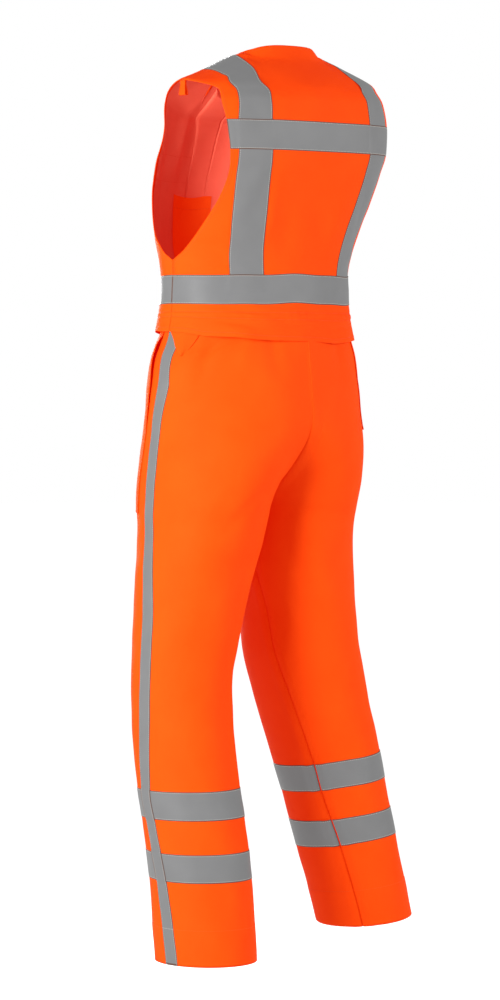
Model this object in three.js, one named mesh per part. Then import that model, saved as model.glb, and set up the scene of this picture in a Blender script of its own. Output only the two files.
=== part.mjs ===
// Sleeveless high-visibility bib overalls, hollow as worn and held up at the shoulders.
// Millimetres, +Z up. The front faces -Y and the wearer's left is +X.
// The origin is the middle of the shoulder line, so heights in the tables are drops below it.
import * as THREE from 'three';

// ---- driving dimensions ----
const CLOTH = 1.6; // wall of the twill panels
const TAPE = 1.0; // wall of the reflective tape
const GAP = 0.3; // clearance between pieces
const EDGE_TRIM = 0.18; // each edge is drawn in by this much, so two meeting edges leave a gap
const SHOULDER_Y = 15; // the tables measure Y from a point this far before the shoulder line
const SHOULDER_LEAN = 0.025; // rise of the right shoulder, by X, between the levels below
const LEAN_FROM = -130;
const LEAN_TO = -45;
const SIDE_TAPE_HALF = 14; // half width of the tape down each side seam
const SIDE_TAPE_TOP = 484; // drop where it starts, just under the waist panel
const PLACKET_HALF = 25; // half width of the cover strip at the centre front
const COLOUR = { cloth: 0xff5a0a, reverse: 0xe0604a, tape: 0x929294 };
const ROUGHNESS = { cloth: 0.8, reverse: 0.85, tape: 0.45 };

// Layers above a panel's middle surface, as [underside, top].
const PANEL = [-CLOTH / 2, CLOTH / 2];
const FIRST_LAYER = [PANEL[1] + GAP, PANEL[1] + GAP + TAPE];
const SECOND_LAYER = [FIRST_LAYER[1] + GAP, FIRST_LAYER[1] + GAP + TAPE];
const INNER_LAYER = [PANEL[0] - GAP - TAPE, PANEL[0] - GAP];
const SECOND_INNER_LAYER = [INNER_LAYER[0] - GAP - TAPE, INNER_LAYER[0] - GAP];

const degrees = Math.PI / 180;
const garment = new THREE.Group();
garment.position.y = -SHOULDER_Y;

// ---- tables ----
function table(names, rows) {
  return rows.map((row) => Object.fromEntries(names.map((name, i) => [name, row[i]])));
}

// Rings of the trunk, from the free edge of the waist panel up to the neckline.
// level is the height at the side; backZ and frontZ are the heights at the centre back and front.
const TRUNK = table(
  ['level', 'halfWidth', 'sideY', 'backY', 'frontY', 'backZ', 'frontZ', 'backSquare', 'frontSquare'],
  [
    [-476, 190, -28, 109, -149, -483, -481, 2.2, 2.1],
    [-423, 180, -28, 104, -144, -423, -428, 2.2, 2.1],
    [-398, 179, -27, 103, -144, -398, -404, 2.2, 2.1],
    [-373, 179, -26, 103, -146, -373, -380, 2.2, 2.1],
    [-349, 183, -23, 104, -151, -349, -356, 2.2, 2.1],
    [-313, 190, -18, 111, -160, -313, -320, 2.3, 2.1],
    [-244, 200, -7, 132, -157, -244, -251, 2.6, 2.2],
    [-196, 206, 0, 146, -149, -196, -203, 2.9, 2.2],
    [-168, 211, 5, 151, -139, -168, -175, 3.1, 2.2],
    [-118, 213, 9, 151, -124, -118, -134, 3.0, 2.1],
    [-80, 209, 12, 147, -115, -82, -115, 2.8, 2.1],
    [-60, 204, 14, 140, -112, -66, -106, 2.5, 2.1],
    [-44, 199, 16, 131, -105, -54, -99, 2.3, 2.0],
    [-33, 170, 16, 113, -94, -36, -92, 2.2, 2.0],
    [-22, 140, 15, 93, -84, -17, -85, 2.1, 2.0],
    [-11, 110, 14, 78, -74, -1, -78, 2.2, 2.0],
    [0, 80, 14, 64, -63, 20, -70, 3.2, 2.0],
  ],
);

// Rows of the back and the fronts, from the waist panel's free edge to the shoulder seam.
// edgeReach is how far the armhole edge lies behind or before the side line. The other columns
// are distances from the middle. rise runs from 0 at the yoke to 1 at the shoulder seam.
const BACK_ROWS = table(['level', 'edgeReach', 'braceOuter', 'braceInner', 'neckSide', 'rise'], [
  [-476, 0, 135, 82, 68, 0],
  [-450, 0, 135, 82, 68, 0],
  [-423, 0, 135, 82, 68, 0],
  [-398, 0, 135, 82, 68, 0],
  [-373, 0, 136, 83, 69, 0],
  [-349, 0, 139, 85, 71, 0],
  [-335, 22, 141, 87, 73, 0],
  [-313, 44, 144, 90, 75, 0],
  [-280, 68, 150, 95, 79, 0],
  [-244, 89, 156, 101, 83, 0],
  [-206, 104, 162, 107, 87, 0],
  [-168, 109, 167, 111, 90, 0],
  [-143, 106, 168, 112, 91, 0],
  [-118, 101, 168, 112, 91, 0],
  [-88, 90, 164, 110, 89, 0],
  [-60, 74, 159, 107, 87, 0],
  [-53, 62, 157, 104, 85, 0.16],
  [-49, 48, 155, 101, 84, 0.36],
  [-46, 31, 154, 98, 82, 0.57],
  [-44.6, 14, 153, 96, 81, 0.79],
  [-44, 0, 152, 94, 80, 1],
]);
const BACK_ROW = { free: 0, tapeLow: 2, seam: 3, tapeTop: 4, chestLow: 11, chestTop: 13, yoke: 15 };

const FRONT_ROWS = table(
  ['level', 'edgeReach', 'braceOuter', 'braceInner', 'neckSide', 'facing', 'rise'],
  [
    [-476, 0, 137, 79, 63, 47, 0],
    [-450, 0, 137, 79, 63, 47, 0],
    [-423, 0, 137, 79, 63, 47, 0],
    [-398, 0, 137, 79, 63, 47, 0],
    [-373, 0, 137, 79, 63, 47, 0],
    [-349, 0, 137, 79, 63, 47, 0],
    [-337, 22, 137, 79, 63, 47, 0],
    [-321, 43, 137, 79, 63, 47, 0],
    [-303, 64, 137, 79, 63, 47, 0],
    [-263, 89, 137, 79, 63, 47, 0],
    [-225, 99, 138, 80, 64, 47, 0],
    [-207, 103, 139, 81, 65, 47, 0],
    [-182, 105, 140, 82, 66, 47, 0],
    [-158, 105, 141, 83, 67, 48, 0],
    [-128, 101, 143, 85, 69, 50, 0],
    [-100, 94, 145, 87, 72, 53, 0],
    [-75, 81, 147, 89, 75, 57, 0],
    [-60, 68, 148, 90, 77, 60, 0],
    [-50, 48, 150, 92, 78, 61, 0.3],
    [-46, 28, 151, 93, 79, 62, 0.58],
    [-44.3, 11, 152, 94, 80, 62, 0.82],
    [-44, 0, 152, 94, 80, 62, 1],
  ],
);
const FRONT_ROW = { free: 0, tapeLow: 2, seam: 3, tapeTop: 4, chestLow: 11, chestTop: 13, yoke: 17 };

// Rings of the trousers. drop is the distance of the side seam below the shoulder line.
// Down to the crotch a ring runs from the side seam to the centre seam at X = 0: outX is its
// widest point and wrapBack and wrapFront say how far it curls round, 90 at the hips, 180 at
// the crotch. Below it innerX is the inner side of the leg. Turns are in degrees, to the back.
// square is the ring's exponent, 2 for an ellipse. backRise lifts the back and drops the front.
const TROUSER_NAMES = ['drop', 'outX', 'innerX', 'midY', 'backDepth', 'frontDepth', 'backZ',
  'frontZ', 'wrapBack', 'wrapFront', 'sideTurn', 'inseamTurn', 'square', 'backRise'];
const HIP_RINGS = [
  [438, 179, 0, -28, 128, 112, -438, -443, 90, 90, 2, 0, 2.05, 0],
  [462, 181, 0, -28, 130, 114, -462, -466, 90, 90, 2, 0, 2.05, 0],
  [484, 186, 0, -28, 135, 120, -486, -487, 90, 90, 2, 0, 2.05, 0],
  [515, 196, 0, -28, 140, 130, -515, -516, 90, 90, 0, 0, 2, 0],
  [560, 205, 0, -28, 146, 137, -558, -560, 90, 90, 1, 0, 2, 0],
  [610, 209, 0, -29, 151, 137, -602, -606, 92, 91, -3, 0, 2, 0],
  [650, 209, 0, -31, 151, 136, -640, -642, 107, 103, -5, 0, 2, 0],
  [690, 208, 0, -34, 146, 134, -678, -682, 125, 120, -7, 0, 2, 0],
  [725, 206, 0, -37, 140, 133, -710, -714, 141, 138, -9, 0, 2, 0],
  [755, 204, 0, -40, 133, 132, -736, -740, 155, 154, -10, 0, 2, 0],
  [780, 203, 0, -42, 127, 129, -756, -758, 168, 168, -11, 0, 2, 0],
  [800, 203, 0, -43, 122, 126, -768, -768, 180, 180, -11, 0, 2, 0],
];
const LEFT_LEG = table(TROUSER_NAMES, [
  ...HIP_RINGS,
  [835, 210, 11, -43, 112, 114, -822, -822, 180, 180, -8, 0, 2, 0],
  [870, 219, 20, -43, 101, 103, -866, -866, 180, 180, -4, 0, 2, 0],
  [940, 225, 40, -43, 95, 97, -940, -940, 180, 180, 0, 0, 2, 0],
  [1075, 229, 61, -48, 88, 88, -1075, -1075, 180, 180, 0, 0, 2, 0],
  [1242, 224, 55, -40, 92, 86, -1242, -1242, 180, 180, -6, 0, 2, 0],
  [1291, 220, 52, -32, 92, 88, -1291, -1291, 180, 180, -7, 0, 2, 0],
  [1347, 218, 50, -22, 92, 92, -1347, -1347, 180, 180, -5, 0, 2, 0],
  [1395, 215, 49, -16, 92, 92, -1395, -1395, 180, 180, -3, 0, 2, 0],
  [1500, 212, 48, -8, 91, 91, -1500, -1500, 180, 180, 3, 0, 2, 0],
  [1536, 211, 47, -5, 90, 90, -1536, -1536, 180, 180, 4, 0, 2, 0],
]);
const RIGHT_LEG = table(TROUSER_NAMES, [
  ...HIP_RINGS,
  [835, 208, 8, -46, 114, 118, -822, -822, 180, 180, -8, 2, 2, 0],
  [868, 215, 14, -50, 110, 112, -868, -868, 180, 180, -5, 5, 2, 0],
  [940, 226, 34, -57, 110, 111, -946, -946, 180, 180, -2, 12, 2, 0],
  [1015, 239, 46, -60, 112, 110, -1025, -1025, 180, 180, 0, 17, 2, 3],
  [1110, 260, 80, -59, 108, 108, -1124, -1124, 180, 180, 0, 23, 2, 6],
  [1207, 282, 112, -53, 103, 103, -1227, -1227, 180, 180, 0, 28, 2, 8],
  [1254, 290, 124, -48, 99, 99, -1274, -1274, 180, 180, 0, 29, 2, 8],
  [1306, 300, 137, -43, 96, 96, -1326, -1326, 180, 180, 0, 33, 2, 8],
  [1353, 310, 148, -38, 93, 93, -1373, -1373, 180, 180, 0, 37, 2, 8],
  [1450, 333, 168, -26, 88, 88, -1466, -1466, 180, 180, 0, 42, 2, 4],
  [1496, 342, 177, -22, 87, 87, -1512, -1512, 180, 180, 0, 44, 2, 0],
]);
const CROTCH_DROP = 800;
const LEG_COLUMNS = 10; // columns of a trouser panel between the side tape and the inner seam

// Drops of the panel rows. The upper and lower leg bands use the rows named here.
const HIP_DROPS = [438, 462, 484, 515, 560, 610, 640, 690, 725, 755, 780, 800];
const LEG_DROPS = {
  left: [835, 870, 915, 970, 1030, 1100, 1170, 1242, 1291, 1347, 1395, 1465, 1536],
  right: [835, 868, 915, 970, 1030, 1090, 1150, 1207, 1254, 1306, 1353, 1425, 1496],
};
const LEG_BANDS = {
  left: { upper: [1242, 1291], lower: [1347, 1395] },
  right: { upper: [1207, 1254], lower: [1306, 1353] },
};

// Soft folds of the trouser legs: a ridge or a trough (negative height) that runs from one drop
// and angle to another, in millimetres and degrees; angles are positive on the back.
const FOLDS = table(['side', 'fromDrop', 'fromAngle', 'toDrop', 'toAngle', 'height', 'width'], [
  ['left', 500, 42, 590, 22, -6, 13],
  ['left', 495, 20, 560, 14, 5, 12],
  ['left', 760, 140, 960, 118, 4, 18],
  ['left', 800, 75, 1120, 60, -3, 20],
  ['left', 1180, 128, 1420, 112, 4, 16],
  ['left', 1290, 60, 1500, 78, -3, 16],
  ['left', 900, -60, 1200, -80, 4, 20],
  ['right', 745, 128, 960, 100, 5, 18],
  ['right', 800, 62, 1150, 40, -3, 20],
  ['right', 1120, 100, 1300, 128, -4, 16],
  ['right', 1290, 62, 1460, 84, 4, 18],
  ['right', 880, -66, 1180, -88, 4, 20],
]);

// Patch pockets, as column and row ranges of the trouser panel that they lie on.
const HIP_POCKET = { columns: [2, 8], drops: [484, 780], mouthLift: 3, mouthEnd: 640 };
const MOUTH_COLUMNS = 2; // columns over which the lift of the mouth fades out
const TOOL_POCKET = { columns: [1, 5], drops: [484, 640] };
const INNER_POCKET = { topLevel: -225, bottomLevel: -349, sag: 3 };
const FLY = { drops: [515, 640] };
const TIP_LEVEL = -44; // level of the shoulder tips
const LOOP = { length: 26, width: 9, wall: 1.2, hollow: 1.6, inset: 3, below: 1.3 };

// ---- reading the tables ----
function slope(rows, key, name, i) {
  const before = rows[Math.max(i - 1, 0)];
  const after = rows[Math.min(i + 1, rows.length - 1)];
  return (after[name] - before[name]) / (after[key] - before[key]);
}

// Smooth curve through a column of a table whose key column rises.
function read(rows, key, at, name) {
  let i = 0;
  while (i < rows.length - 2 && rows[i + 1][key] < at) {
    i += 1;
  }
  const low = rows[i];
  const high = rows[i + 1];
  const span = high[key] - low[key];
  const t = Math.min(Math.max((at - low[key]) / span, 0), 1);
  const startSlope = slope(rows, key, name, i) * span;
  const endSlope = slope(rows, key, name, i + 1) * span;
  const rise = high[name] - low[name];
  const bend = (startSlope - rise) * (1 - t) + (rise - endSlope) * t;
  return low[name] + rise * t + t * (1 - t) * bend;
}

const lerp = (a, b, t) => a + (b - a) * t;
const signedPower = (value, power) => Math.sign(value) * Math.abs(value) ** power;

// ---- surfaces ----
// A point of the left half of the trunk: angle 0 at the side, 90 degrees at the centre back
// and -90 degrees at the centre front.
function trunkPoint(level, angle) {
  const at = (name) => read(TRUNK, 'level', level, name);
  const behind = Math.sin(angle) >= 0;
  const power = 2 / at(behind ? 'backSquare' : 'frontSquare');
  const reach = Math.abs(Math.sin(angle)) ** power;
  const sideY = at('sideY');
  const y = lerp(sideY, at(behind ? 'backY' : 'frontY'), reach);
  const z = lerp(level, at(behind ? 'backZ' : 'frontZ'), behind ? reach : reach ** 1.4);
  return new THREE.Vector3(at('halfWidth') * signedPower(Math.cos(angle), power), y, z);
}

// The angle at which a trunk ring is x from the middle, or reach from the side line.
function angleAtX(level, x, square) {
  const share = Math.min(x / read(TRUNK, 'level', level, 'halfWidth'), 1);
  return Math.acos(share ** (read(TRUNK, 'level', level, square) / 2));
}

function angleAtReach(level, reach, behind) {
  const sideY = read(TRUNK, 'level', level, 'sideY');
  const depth = Math.abs(read(TRUNK, 'level', level, behind ? 'backY' : 'frontY') - sideY);
  const square = read(TRUNK, 'level', level, behind ? 'backSquare' : 'frontSquare');
  return Math.asin(Math.min(reach / depth, 1) ** (square / 2));
}

// Above the yoke the rings shrink, so the level where a ring at this angle is x wide is found.
function levelAtX(x, angle, square, lowest) {
  let low = lowest;
  let high = 0;
  for (let i = 0; i < 40; i += 1) {
    const middle = (low + high) / 2;
    const power = 2 / read(TRUNK, 'level', middle, square);
    const width = read(TRUNK, 'level', middle, 'halfWidth') * Math.cos(angle) ** power;
    if (width > x) {
      low = middle;
    } else {
      high = middle;
    }
  }
  return (low + high) / 2;
}

// A point of one leg, with X measured outwards from the middle of the garment.
function legPoint(leg, drop, angle) {
  const at = (name) => read(leg, 'drop', drop, name);
  const behind = Math.sin(angle) >= 0;
  const wrap = at(behind ? 'wrapBack' : 'wrapFront') * degrees;
  const outX = at('outX');
  const halfWidth = (outX - at('innerX')) / (1 - Math.cos(wrap));
  const power = 2 / at('square');
  const depth = at(behind ? 'backDepth' : 'frontDepth');
  const across = signedPower(Math.cos(angle), power);
  const x = outX - halfWidth * (1 - across);
  const y = at('midY') + depth * signedPower(Math.sin(angle), power);
  const z = lerp(-drop, at(behind ? 'backZ' : 'frontZ'), (1 - across) / (1 - Math.cos(wrap)));
  const rise = at('backRise') * Math.sin(angle);
  return new THREE.Vector3(x, y, z + rise);
}

// ---- grids: rows of { point, normal } going up the garment, columns going to the middle ----
const TURN_STEP = 1e-4; // steps for the surface's slopes, in radians and in millimetres
const LEVEL_STEP = 1e-2;

// A point of a surface and its normal, which points away from the place given by inside.
function knot(surface, along, angle, inside) {
  const acrossRow = surface(along, angle + TURN_STEP).sub(surface(along, angle - TURN_STEP));
  const upColumn = surface(along + LEVEL_STEP, angle).sub(surface(along - LEVEL_STEP, angle));
  const normal = acrossRow.cross(upColumn).normalize();
  const point = surface(along, angle);
  if (normal.dot(point.clone().sub(inside(point))) < 0) {
    normal.negate();
  }
  return { point, normal };
}

// The inside of the trunk lies on its axis, below the yoke and below the point.
const YOKE_LEVEL = -60;
const AXIS_DEPTH = 60;
const trunkAxis = (point) =>
  new THREE.Vector3(0, 0, Math.min(point.z, YOKE_LEVEL) - AXIS_DEPTH);
const trunkKnot = (level, angle) => knot(trunkPoint, level, angle, trunkAxis);

// Corners of a trunk row, from the armhole edge to the middle, as [level, angle] pairs.
function trunkCorners(row, yokeRow, behind) {
  const square = behind ? 'backSquare' : 'frontSquare';
  const shoulder = (name) => {
    if (row.rise === 0) {
      return [row.level, angleAtX(row.level, row[name], square)];
    }
    const angle = angleAtX(yokeRow.level, yokeRow[name], square) * (1 - row.rise);
    return [levelAtX(row[name], angle, square, yokeRow.level), angle];
  };
  const middleLevel = row.rise === 0 ? row.level : lerp(yokeRow.level, 0, row.rise);
  const neck = (x) => [middleLevel, angleAtX(middleLevel, x, square)];
  const edge = [row.level, angleAtReach(row.level, row.edgeReach, behind)];
  const corners = [edge, shoulder('braceOuter'), shoulder('braceInner'), shoulder('neckSide')];
  if (!behind) {
    corners.push(neck(row.facing), neck(PLACKET_HALF));
  }
  corners.push([middleLevel, 90 * degrees]);
  return corners;
}

// One half of the back or the left front; steps says how many columns lie between corners.
function trunkGrid(rows, yoke, steps, behind) {
  const sense = behind ? 1 : -1;
  return rows.map((row) => {
    const corners = trunkCorners(row, rows[yoke], behind);
    const knots = [];
    steps.forEach((count, i) => {
      for (let k = 0; k < count; k += 1) {
        const level = lerp(corners[i][0], corners[i + 1][0], k / count);
        const angle = lerp(corners[i][1], corners[i + 1][1], k / count);
        knots.push(trunkKnot(level, sense * angle));
      }
    });
    const last = corners[corners.length - 1];
    const middle = trunkKnot(last[0], sense * last[1]);
    middle.normal.setX(0).normalize();
    knots.push(middle);
    return knots;
  });
}

const mirrored = ({ point, normal }) => ({
  point: new THREE.Vector3(-point.x, point.y, point.z),
  normal: new THREE.Vector3(-normal.x, normal.y, normal.z),
});
const mirrorGrid = (grid) => grid.map((row) => row.map(mirrored));
const joinHalves = (grid) =>
  grid.map((row) => [...row, ...row.slice(0, -1).reverse().map(mirrored)]);

// Height of all folds of one leg at a place on it.
function foldHeight(side, drop, angle) {
  let height = 0;
  for (const fold of FOLDS.filter((row) => row.side === side)) {
    const share = (drop - fold.fromDrop) / (fold.toDrop - fold.fromDrop);
    if (share > 0 && share < 1) {
      const middle = lerp(fold.fromAngle, fold.toAngle, share);
      const off = (angle / degrees - middle) / fold.width;
      height += fold.height * Math.sin(Math.PI * share) * Math.exp(-off * off);
    }
  }
  return height;
}

// Half a leg: column 0 is the side seam, column 1 the edge of the side tape, the last the
// centre seam or the inseam, where the normals of the front and back are shared.
function legGrid(side, leg, drops, behind) {
  const axis = (drop) => {
    const middle = (read(leg, 'drop', drop, 'outX') + read(leg, 'drop', drop, 'innerX')) / 2;
    return (point) => new THREE.Vector3(middle, read(leg, 'drop', drop, 'midY'), point.z);
  };
  const surface = (drop, angle) => legPoint(leg, drop, angle);
  const sense = behind ? 1 : -1;
  return drops.map((drop) => {
    const wrap = read(leg, 'drop', drop, behind ? 'wrapBack' : 'wrapFront') * degrees;
    const turn = read(leg, 'drop', drop, 'inseamTurn') * degrees;
    const start = read(leg, 'drop', drop, 'sideTurn') * degrees;
    const end = sense * wrap - turn;
    const depth = read(leg, 'drop', drop, behind ? 'backDepth' : 'frontDepth');
    const tapeEdge = start + sense * (SIDE_TAPE_HALF / depth);
    const angles = [start];
    for (let k = 0; k <= LEG_COLUMNS; k += 1) {
      angles.push(lerp(tapeEdge, end, k / LEG_COLUMNS));
    }
    const knots = angles.map((angle) => {
      const smooth = knot(surface, drop, angle, axis(drop));
      smooth.point.addScaledVector(smooth.normal, foldHeight(side, drop, angle));
      return smooth;
    });
    const seam = knots[knots.length - 1];
    if (drop <= CROTCH_DROP) {
      seam.point.x = 0;
      seam.normal.setX(0).normalize();
    }
    if (drop === CROTCH_DROP) {
      seam.normal.set(0, 0, -1);
    }
    return knots;
  });
}

// ---- solids ----
const copied = ({ point, normal }) => ({ point: point.clone(), normal });

// A part of a grid, with its whole border drawn in by the edge trim.
function cut(grid, rows, columns) {
  const piece = grid
    .slice(rows[0], rows[1] + 1)
    .map((row) => row.slice(columns[0], columns[1] + 1).map(copied));
  const pull = (border, next) => {
    border.point.add(next.point.clone().sub(border.point).setLength(EDGE_TRIM));
  };
  const lastRow = piece.length - 1;
  const lastColumn = piece[0].length - 1;
  for (let j = 0; j <= lastColumn; j += 1) {
    pull(piece[0][j], piece[1][j]);
    pull(piece[lastRow][j], piece[lastRow - 1][j]);
  }
  for (let i = 0; i <= lastRow; i += 1) {
    pull(piece[i][0], piece[i][1]);
    pull(piece[i][lastColumn], piece[i][lastColumn - 1]);
  }
  return piece;
}

// Every layer splits a four-cornered face from its low outer corner to its high inner one, so
// that the facets of a tape lie parallel to those of the panel under it.
function splitsStraight(grid, i, j) {
  const [a, b] = [grid[i][j].point, grid[i][j + 1].point];
  const [c, d] = [grid[i + 1][j].point, grid[i + 1][j + 1].point];
  const firstColumnIsOuter = Math.abs(a.x) + Math.abs(c.x) > Math.abs(b.x) + Math.abs(d.x);
  const firstRowIsLower = a.z + b.z < c.z + d.z;
  return firstColumnIsOuter === firstRowIsLower;
}

// Closed wall over a grid, between two heights above its middle surface. height may be a
// function of row and column that gives [underside, top].
function wall(grid, height) {
  const heightAt = typeof height === 'function' ? height : () => height;
  const rowCount = grid.length;
  const columnCount = grid[0].length;
  const positions = [];
  for (const side of [1, 0]) {
    grid.forEach((row, i) => row.forEach(({ point, normal }, j) => {
      const moved = point.clone().addScaledVector(normal, heightAt(i, j)[side]);
      positions.push(moved.x, moved.y, moved.z);
    }));
  }
  const outer = (i, j) => i * columnCount + j;
  const inner = (i, j) => rowCount * columnCount + outer(i, j);
  const index = [];
  const quad = (a, b, c, d, straight = true) =>
    index.push(...(straight ? [a, b, c, a, c, d] : [a, b, d, b, c, d]));
  for (let i = 0; i < rowCount - 1; i += 1) {
    for (let j = 0; j < columnCount - 1; j += 1) {
      const straight = splitsStraight(grid, i, j);
      quad(outer(i, j), outer(i, j + 1), outer(i + 1, j + 1), outer(i + 1, j), straight);
      quad(inner(i, j), inner(i + 1, j), inner(i + 1, j + 1), inner(i, j + 1), straight);
    }
    quad(outer(i, 0), outer(i + 1, 0), inner(i + 1, 0), inner(i, 0));
    const end = columnCount - 1;
    quad(outer(i + 1, end), outer(i, end), inner(i, end), inner(i + 1, end));
  }
  for (let j = 0; j < columnCount - 1; j += 1) {
    quad(outer(0, j + 1), outer(0, j), inner(0, j), inner(0, j + 1));
    const top = rowCount - 1;
    quad(outer(top, j), outer(top, j + 1), inner(top, j + 1), inner(top, j));
  }
  return facingOut(positions, index);
}

function facingOut(positions, index) {
  const corner = (k) => new THREE.Vector3().fromArray(positions, index[k] * 3);
  let volume = 0;
  for (let k = 0; k < index.length; k += 3) {
    volume += corner(k).dot(corner(k + 1).cross(corner(k + 2)));
  }
  if (volume < 0) {
    index.reverse();
  }
  const geometry = new THREE.BufferGeometry();
  geometry.setAttribute('position', new THREE.Float32BufferAttribute(positions, 3));
  geometry.setIndex(index);
  return geometry;
}

// The garment hangs a little unevenly: the right shoulder sits higher than the left.
function lean(geometry) {
  const positions = geometry.attributes.position;
  for (let i = 0; i < positions.count; i += 1) {
    const share = THREE.MathUtils.smoothstep(positions.getZ(i), LEAN_FROM, LEAN_TO);
    positions.setZ(i, positions.getZ(i) - SHOULDER_LEAN * share * positions.getX(i));
  }
}

function add(name, geometry, kind = 'cloth') {
  lean(geometry);
  const finish = { color: COLOUR[kind], roughness: ROUGHNESS[kind], metalness: 0 };
  const mesh = new THREE.Mesh(geometry, new THREE.MeshStandardMaterial(finish));
  mesh.name = name;
  garment.add(mesh);
}

// ---- bib and waist ----
const BACK_STEPS = [3, 2, 1, 4];
const FRONT_STEPS = [3, 2, 1, 1, 1, 1];
const halfBack = trunkGrid(BACK_ROWS, BACK_ROW.yoke, BACK_STEPS, true);
const back = joinHalves(halfBack);
const frontLeft = trunkGrid(FRONT_ROWS, FRONT_ROW.yoke, FRONT_STEPS, false);
const sides = {
  left: { back: halfBack, front: frontLeft },
  right: { back: mirrorGrid(halfBack), front: mirrorGrid(frontLeft) },
};
const EDGE_TO_OUTER = 3;
const EDGE_TO_INNER = 5;
const EDGE_TO_FACING = 7;
const EDGE_TO_PLACKET = 8;
const FRONT_LAST = 9;
const BACK_LAST = back[0].length - 1;
const backTop = BACK_ROWS.length - 1;
const frontTop = FRONT_ROWS.length - 1;

function addBack() {
  add('back_panel', wall(cut(back, [BACK_ROW.seam, backTop], [0, BACK_LAST]), PANEL));
  add('waist_back', wall(cut(back, [BACK_ROW.free, BACK_ROW.seam], [0, BACK_LAST]), PANEL));
  const waistTape = cut(back, [BACK_ROW.tapeLow, BACK_ROW.tapeTop], [0, BACK_LAST]);
  add('waist_tape_back', wall(waistTape, SECOND_LAYER), 'tape');
  const chestTape = cut(back, [BACK_ROW.chestLow, BACK_ROW.chestTop], [0, BACK_LAST]);
  add('chest_tape_back', wall(chestTape, SECOND_LAYER), 'tape');
}

function addFront(side) {
  const grid = sides[side].front;
  const { free, tapeLow, seam, tapeTop, chestLow, chestTop } = FRONT_ROW;
  add(`front_${side}`, wall(cut(grid, [seam, frontTop], [0, FRONT_LAST]), PANEL));
  add(`waist_front_${side}`, wall(cut(grid, [free, seam], [0, FRONT_LAST]), PANEL));
  const waistTape = cut(grid, [tapeLow, tapeTop], [0, EDGE_TO_PLACKET]);
  add(`waist_tape_front_${side}`, wall(waistTape, SECOND_LAYER), 'tape');
  const chestTape = cut(grid, [chestLow, chestTop], [0, EDGE_TO_PLACKET]);
  add(`chest_tape_front_${side}`, wall(chestTape, SECOND_LAYER), 'tape');
  const facing = cut(grid, [seam, frontTop], [EDGE_TO_FACING, FRONT_LAST]);
  add(`front_facing_${side}`, wall(facing, INNER_LAYER), 'reverse');
}

// The brace tape runs up the back, over the shoulder seam and down the front.
function addBrace(side) {
  const columns = [EDGE_TO_OUTER, EDGE_TO_INNER];
  const pick = (grid, seam) =>
    grid.slice(seam).map((row) => row.slice(columns[0], columns[1] + 1));
  const up = pick(sides[side].back, BACK_ROW.seam);
  const down = pick(sides[side].front, FRONT_ROW.seam).reverse().slice(1);
  const strip = [...up, ...down];
  add(`brace_tape_${side}`, wall(cut(strip, [0, strip.length - 1], [0, 2]), FIRST_LAYER), 'tape');
}

function addPlacket() {
  const strip = frontLeft.map((row) => {
    const half = row.slice(EDGE_TO_PLACKET);
    return [...half, ...half.slice(0, -1).reverse().map(mirrored)];
  });
  add('front_placket', wall(cut(strip, [FRONT_ROW.free, frontTop], [0, 2]), FIRST_LAYER));
}

// Pocket inside the left front: its mouth hangs a little away from the panel.
function addInnerPocket() {
  const rows = FRONT_ROWS.map((row) => row.level);
  const range = [rows.indexOf(INNER_POCKET.bottomLevel), rows.indexOf(INNER_POCKET.topLevel)];
  const columns = [EDGE_TO_INNER, FRONT_LAST];
  const piece = cut(frontLeft, range, columns);
  const last = piece.length - 1;
  const middle = (piece[0].length - 1) / 2;
  const sag = (i, j) =>
    INNER_POCKET.sag * (i / last) ** 2 * (1 - ((j - middle) / middle) ** 2);
  const height = (i, j) => SECOND_INNER_LAYER.map((level) => level - sag(i, j));
  add('inner_pocket', wall(piece, height));
}

// Folded loop hanging from the shoulder tip, open through its middle. Its outline lies in the
// X-Z plane and is extruded through the loop's width.
function addShoulderLoop(side) {
  const sign = side === 'left' ? 1 : -1;
  const tip = trunkPoint(TIP_LEVEL, 0);
  const inner = LOOP.hollow / 2;
  const outer = inner + LOOP.wall;
  const bendZ = outer - LOOP.length;
  const outline = new THREE.Shape();
  outline.moveTo(-outer, 0);
  outline.lineTo(-outer, bendZ);
  outline.absarc(0, bendZ, outer, Math.PI, 2 * Math.PI, false);
  outline.lineTo(outer, 0);
  outline.lineTo(inner, 0);
  outline.lineTo(inner, bendZ);
  outline.absarc(0, bendZ, inner, 0, -Math.PI, true);
  outline.lineTo(-inner, 0);
  const extrusion = { depth: LOOP.width, bevelEnabled: false, curveSegments: 4 };
  const geometry = new THREE.ExtrudeGeometry(outline, extrusion);
  geometry.rotateX(Math.PI / 2);
  geometry.translate(
    sign * (tip.x - LOOP.inset),
    tip.y + LOOP.width / 2,
    tip.z - LOOP.below,
  );
  add(`shoulder_loop_${side}`, geometry);
}

// ---- trousers ----
function addTrousers(side) {
  const leg = side === 'left' ? LEFT_LEG : RIGHT_LEG;
  const drops = [...HIP_DROPS, ...LEG_DROPS[side]];
  const place = (grid) => (side === 'left' ? grid : mirrorGrid(grid));
  const rear = place(legGrid(side, leg, drops, true));
  const front = place(legGrid(side, leg, drops, false));
  shareInseam(rear, front, drops);
  const last = drops.length - 1;
  const lastColumn = LEG_COLUMNS + 1;
  add(`trouser_back_${side}`, wall(cut(rear, [0, last], [0, lastColumn]), PANEL));
  add(`trouser_front_${side}`, wall(cut(front, [0, last], [0, lastColumn]), PANEL));
  addSideTape(side, rear, front, drops);
  for (const [name, ends] of Object.entries(LEG_BANDS[side])) {
    addLegBand(`leg_band_${name}_${side}`, rear, front, ends.map((drop) => drops.indexOf(drop)));
  }
  addHipPocket(side, front, drops);
  if (side === 'right') {
    const rows = TOOL_POCKET.drops.map((drop) => drops.indexOf(drop));
    add('tool_pocket_right', wall(cut(rear, rows, TOOL_POCKET.columns), FIRST_LAYER));
  }
  return front;
}

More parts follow.
